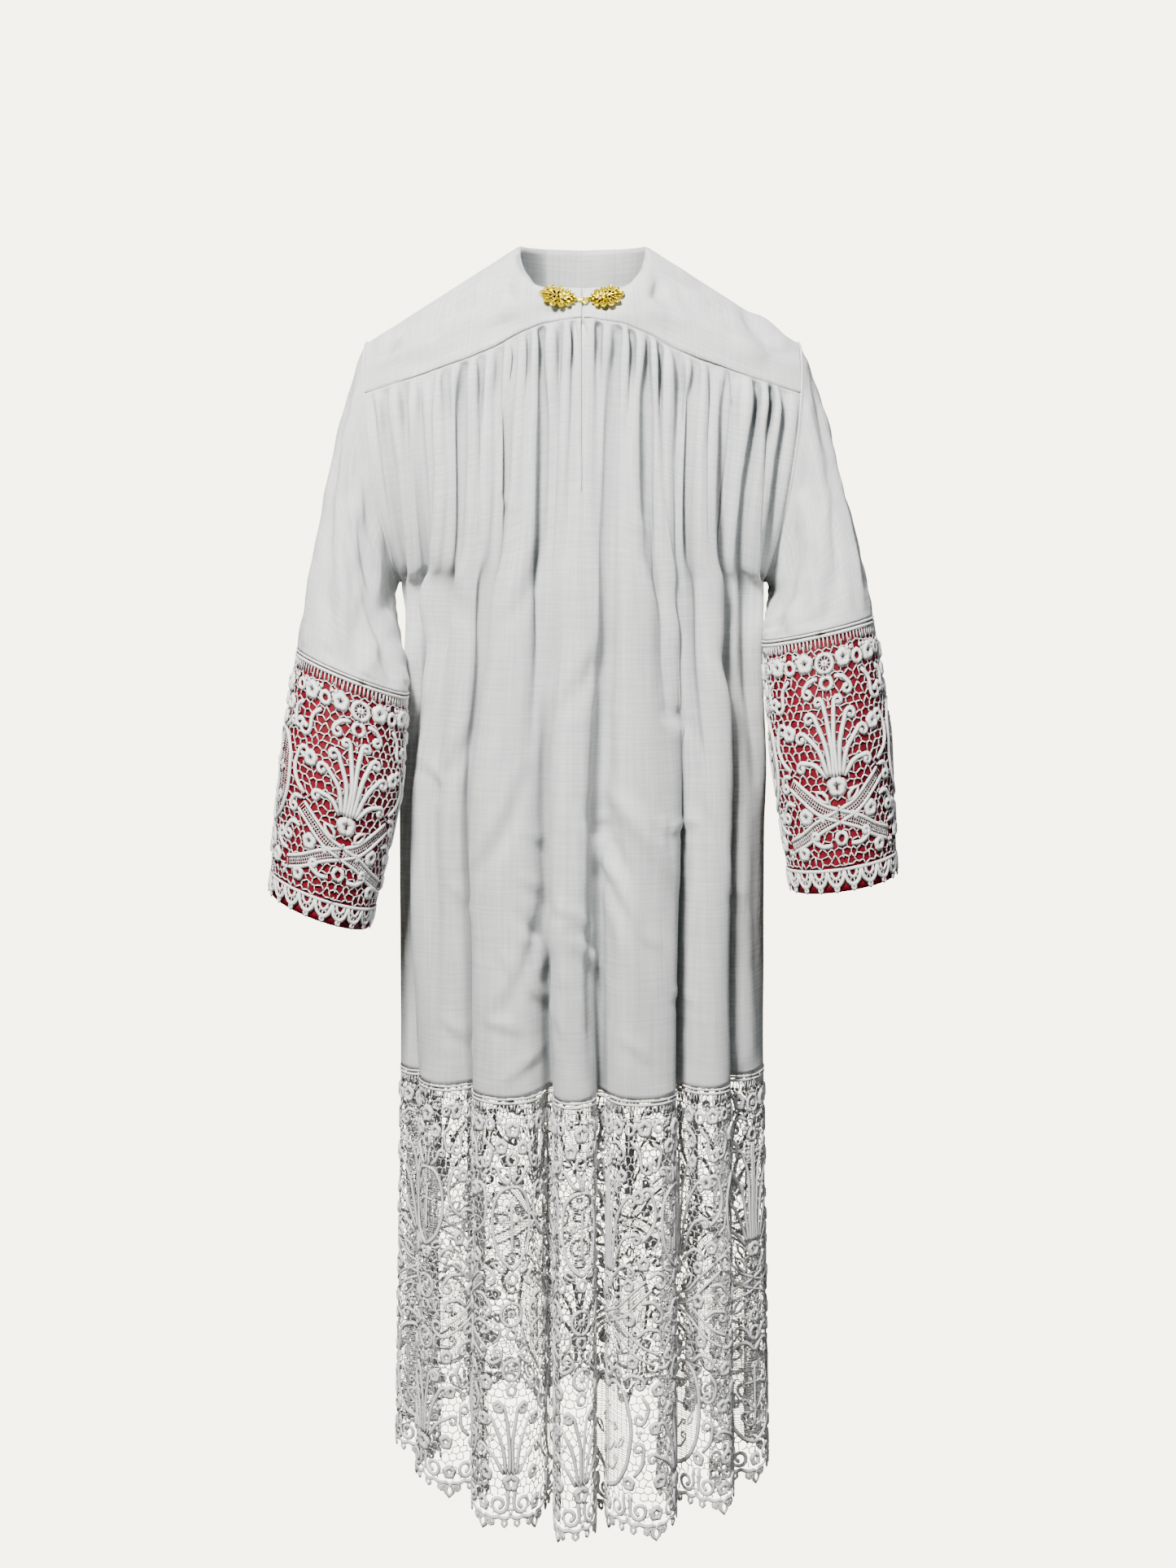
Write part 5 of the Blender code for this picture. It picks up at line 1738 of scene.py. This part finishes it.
def dished_petal(name, rim, dip, rise):
    """Rounded cast petal of radius one: a raised rim, a hollow and a small swell."""
    bpy.ops.object.select_all(action="DESELECT")
    bpy.ops.mesh.primitive_cylinder_add(vertices=10, radius=1.0, depth=0.6)
    petal = bpy.context.view_layer.objects.active
    petal.name = name
    bpy.ops.object.mode_set(mode="EDIT")
    top_face(petal)
    bpy.ops.mesh.inset(thickness=rim)
    bpy.ops.mesh.inset(thickness=0.14)
    bpy.ops.transform.translate(value=(0.0, 0.0, -dip))
    bpy.ops.mesh.inset(thickness=0.22)
    bpy.ops.transform.translate(value=(0.0, 0.0, rise))
    bpy.ops.object.mode_set(mode="OBJECT")
    smooth = petal.modifiers.new("round", "SUBSURF")
    smooth.levels = 1
    smooth.render_levels = 1
    bpy.ops.object.modifier_apply(modifier=smooth.name)
    return petal


def bead(name, segments, rings):
    """Small ball of radius one."""
    bpy.ops.object.select_all(action="DESELECT")
    bpy.ops.mesh.primitive_uv_sphere_add(segments=segments, ring_count=rings, radius=1.0)
    ball = bpy.context.view_layer.objects.active
    ball.name = name
    return ball


def cast_copy(source, spot, size, degrees):
    """Copy of a model piece, stretched, turned about the upright and set down."""
    made = placed(source.name, source.data.copy())
    turn = Matrix.Rotation(math.radians(degrees), 4, "Z")
    made.data.transform(Matrix.Translation(spot) @ turn @ Matrix.Diagonal((*size, 1.0)))
    return made


def wire_piece(name, points, radius):
    """Round wire through a list of points, turned into a closed mesh."""
    curve = bpy.data.curves.new(name, "CURVE")
    curve.dimensions = "3D"
    curve.bevel_depth = radius
    curve.bevel_resolution = 2
    curve.use_fill_caps = True
    line = curve.splines.new("BEZIER")
    line.bezier_points.add(len(points) - 1)
    for spot, point in zip(line.bezier_points, points):
        spot.co = point
        spot.handle_left_type = "AUTO"
        spot.handle_right_type = "AUTO"
    line.resolution_u = 5
    wire = placed(name, curve)
    bpy.ops.object.select_all(action="DESELECT")
    wire.select_set(True)
    bpy.context.view_layer.objects.active = wire
    bpy.ops.object.convert(target="MESH")
    wire = bpy.context.view_layer.objects.active
    bpy.ops.object.mode_set(mode="EDIT")
    bpy.ops.mesh.select_all(action="SELECT")
    bpy.ops.mesh.remove_doubles(threshold=0.00002)
    bpy.ops.mesh.normals_make_consistent(inside=False)
    bpy.ops.object.mode_set(mode="OBJECT")
    return wire


def build_clasp(material):
    """Two cast leaf plates, one with a hook and one with an eye."""
    petal = dished_petal("petal_pattern", 0.20, 0.26, 0.22)
    lobe = dished_petal("lobe_pattern", 0.16, 0.30, 0.12)
    ball = bead("bead_pattern", 10, 6)
    bed = bead("bed_pattern", 28, 10)
    for name, side in (("clasp_hook_half", -1), ("clasp_eye_half", 1)):
        uneven = 1.0 if side < 0 else 0.94
        parts = [cast_copy(bed, (BED_AT, 0.0, 0.0002), (0.0145, 0.0080, 0.0012), 0)]
        for along, up, long, wide, turn in LOBES:
            along, high = along * uneven, SQUEEZE * up
            inner = (BED_AT + 0.62 * (along - BED_AT), 0.60 * up, 0.0026)
            parts.append(cast_copy(lobe, (along, high, 0.0013), (0.90 * long, 0.80 * wide, 0.0052), turn))
            parts.append(cast_copy(ball, (along, high, 0.0028), (0.0015, 0.0012, 0.0016), turn))
            parts.append(cast_copy(ball, inner, (0.0012, 0.0010, 0.0017), turn))
        for along, up, long, wide, turn in RIBS:
            parts.append(cast_copy(ball, (along * uneven, SQUEEZE * up, 0.0026), (long, wide, 0.0015), turn))
        for along, up, radius in BEADS:
            size = (radius * 1.15, radius * 1.15, radius * 1.2)
            parts.append(cast_copy(ball, (along * uneven, up, 0.0029), size, 0))
        for step in range(FLOWER_PETALS):
            angle = 360.0 * step / FLOWER_PETALS + 15.0
            spot = (FLOWER_AT + PETAL_OUT * math.cos(math.radians(angle)),
                    PETAL_OUT * math.sin(math.radians(angle)), 0.0034)
            parts.append(cast_copy(petal, spot, (0.0028, 0.0023, 0.0038), angle))
        parts.append(cast_copy(ball, (FLOWER_AT, 0.0, 0.0044), (0.0018, 0.0018, 0.0015), 0))
        if side < 0:
            parts.append(wire_piece("hook_wire", HOOK_LINE, 0.0010))
        else:
            bpy.ops.object.select_all(action="DESELECT")
            bpy.ops.mesh.primitive_torus_add(
                major_radius=0.0038, minor_radius=0.0011, major_segments=20, minor_segments=8)
            ring = bpy.context.view_layer.objects.active
            parts.append(cast_copy(ring, EYE_AT, (1.0, 1.0, 1.0), 0))
            bpy.data.objects.remove(ring, do_unlink=True)
        bpy.ops.object.select_all(action="DESELECT")
        for part in parts:
            part.select_set(True)
        bpy.context.view_layer.objects.active = parts[0]
        bpy.ops.object.join()
        plate = parts[0]
        plate.name = name.replace("_half", "_cast")
        plate.data.materials.clear()
        plate.data.materials.append(material)
        for face in plate.data.polygons:
            face.material_index = 0
        plate.data.transform(Matrix.Translation((CLASP_OUT, 0.0, 0.0)))
        plate.data.transform(Matrix.Diagonal((side, 1.0, 1.0, 1.0)))
        if side < 0:
            plate.data.flip_normals()
        centre, across, up, out = clasp_place(side)
        turn = Matrix((across, up, out)).transposed().to_4x4()
        centre = centre + out * (0.5 * CLOTH_WALL + PLATE_STAND)
        plate.data.transform(Matrix.Translation(centre) @ turn)
        if turn.determinant() < 0:
            plate.data.flip_normals()
        plate.data.shade_smooth()
        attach(plate, BODY)
        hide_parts(name)
    for pattern in (petal, lobe, ball, bed):
        bpy.data.objects.remove(pattern, do_unlink=True)


# Stage

FLOOR_Z = -1.56
CAMERA_AWAY = 2.10
CAMERA_Z = -0.351
AIM = Vector((0.006, 0.0, -0.605))
LENS = 41.7
PAPER = (0.80, 0.745, 0.61)
PAPER_GLOW = 8.2
CEILING = 1.5
ALL_ROUND = 0.055
MIDDLE = (0.0, 0.0, -0.55)
LAMPS = (
    # name, place, target, size, power, colour
    ("key", (-0.58, -1.66, 1.20), MIDDLE, 0.45, 196.0, (1.0, 0.985, 0.95)),
    ("fill", (1.5, -1.5, 0.9), MIDDLE, 1.0, 16.0, (0.90, 0.96, 1.0)),
    ("rear", (-0.5, 1.25, 1.35), (0.0, 0.0, -0.50), 0.9, 42.0, (1.0, 0.99, 0.96)),
)
BACK_WALL_Y = 0.9
CURVE_RADIUS = 0.6
CURVE_STEPS = 12


def build_stage():
    """Plain cream floor and curved backdrop."""
    points = [(-1.6, FLOOR_Z), (BACK_WALL_Y, FLOOR_Z)]
    for step in range(1, CURVE_STEPS + 1):
        turn = 0.5 * math.pi * step / CURVE_STEPS
        points.append((BACK_WALL_Y + CURVE_RADIUS * math.sin(turn),
                       FLOOR_Z + CURVE_RADIUS * (1 - math.cos(turn))))
    points.append((BACK_WALL_Y + CURVE_RADIUS, 1.6))
    grid = np.array([[(x, y, z) for x in (-3.0, 3.0)] for y, z in points])
    mesh = bpy.data.meshes.new("backdrop")
    index = np.arange(grid.shape[0] * 2).reshape(-1, 2)
    quads = [(a[0], a[1], b[1], b[0]) for a, b in zip(index.tolist(), index[1:].tolist())]
    mesh.from_pydata(grid.reshape(-1, 3).tolist(), [], quads)
    mesh.materials.append(stage_material("backdrop_paper", PAPER, PAPER_GLOW))
    mesh.shade_smooth()
    placed("backdrop", mesh)


def aim(thing, place, target):
    """Stand a camera or light at a place, turned to a target."""
    thing.location = place
    thing.rotation_euler = (Vector(target) - Vector(place)).to_track_quat("-Z", "Y").to_euler()


def area_light(name, place, target, size, power, colour):
    """Round soft lamp."""
    lamp = bpy.data.lights.new(name, "AREA")
    lamp.shape = "DISK"
    lamp.size = size
    lamp.energy = power
    lamp.color = colour
    aim(placed(name, lamp), place, target)


def build_lights():
    """Faint light all round, a bright ceiling for reflections, and three lamps."""
    world = bpy.data.worlds.new("studio")
    world.use_nodes = True
    tree = world.node_tree
    path = node(tree, "ShaderNodeLightPath", (-900, 200)).outputs
    where = node(tree, "ShaderNodeTexCoord", (-1300, -200))
    split = node(tree, "ShaderNodeSeparateXYZ", (-1100, -200), {"Vector": where.outputs["Generated"]})
    ceiling = faded(tree, split.outputs["Z"], 0.05, 0.65, (-900, -200))
    shine = reckon(tree, "MULTIPLY", (-700, -100), ceiling, path["Is Glossy Ray"])
    level = reckon(tree, "MULTIPLY_ADD", (-500, -100), shine, CEILING, ALL_ROUND)
    feed(tree, tree.nodes["Background"], {
        "Color": mixed(tree, (-300, 200), path["Is Camera Ray"], (0.94, 0.97, 1.0, 1.0), opaque(PAPER)),
        "Strength": reckon(tree, "MULTIPLY_ADD", (-300, -100), path["Is Camera Ray"], PAPER_GLOW, level),
    })
    bpy.context.scene.world = world
    for lamp in LAMPS:
        area_light(*lamp)


def build_camera():
    """Camera where the photo was taken from."""
    lens = bpy.data.cameras.new("photo_view")
    lens.lens = LENS
    lens.sensor_width = 36.0
    lens.clip_start = 0.05
    camera = placed("photo_view", lens)
    aim(camera, Vector((0.0, -CAMERA_AWAY, CAMERA_Z)), AIM)
    bpy.context.scene.camera = camera


def main():
    weave = weave_group()
    cloth = cloth_material("white_cloth", weave, (0.71, 0.735, 0.75), (0.90, 0.905, 0.895),
                           0.85, 2600.0, 1.4, 0.8, 0.15)
    satin = cloth_material("red_satin", weave, (0.10, 0.000, 0.004), (0.17, 0.000, 0.010),
                           0.60, 3600.0, 0.3, 0.2)
    cotton = cotton_material("lace_cotton", (0.86, 0.86, 0.85), 900.0, 0.5)
    deep = lace_shapes(flounce_chart(), 1.06)
    narrow = lace_shapes(cuff_chart(), 1.24)
    front_yoke, left_yoke, back_yoke = build_yokes(cloth)
    front_body, back_body = build_body(True, cloth), build_body(False, cloth)
    placket = build_placket(front_yoke[1], front_body[1], cloth)
    for side, front, flat, area in (("front", True, (1.22, 0.50), 0.28), ("back", False, (0.96, 0.50), 0.21)):
        cords, ground = build_flounce(front, deep, cotton)
    for name, flat, area, lined, lined_area in (
        ("right", (0.60, 0.40), 0.105, (0.44, 0.27), 0.112),
        ("left", (0.60, 0.36), 0.088, (0.44, 0.285), 0.115),
    ):
        sleeve, seam = build_sleeve(name, cloth), build_armhole_seam(name, cloth)
        lining = build_lining(name, satin)
        cords, ground = build_cuff_lace(name, narrow, cotton)
    build_clasp(gilt_material("gilt"))
    build_stage()
    build_lights()
    build_camera()


main()
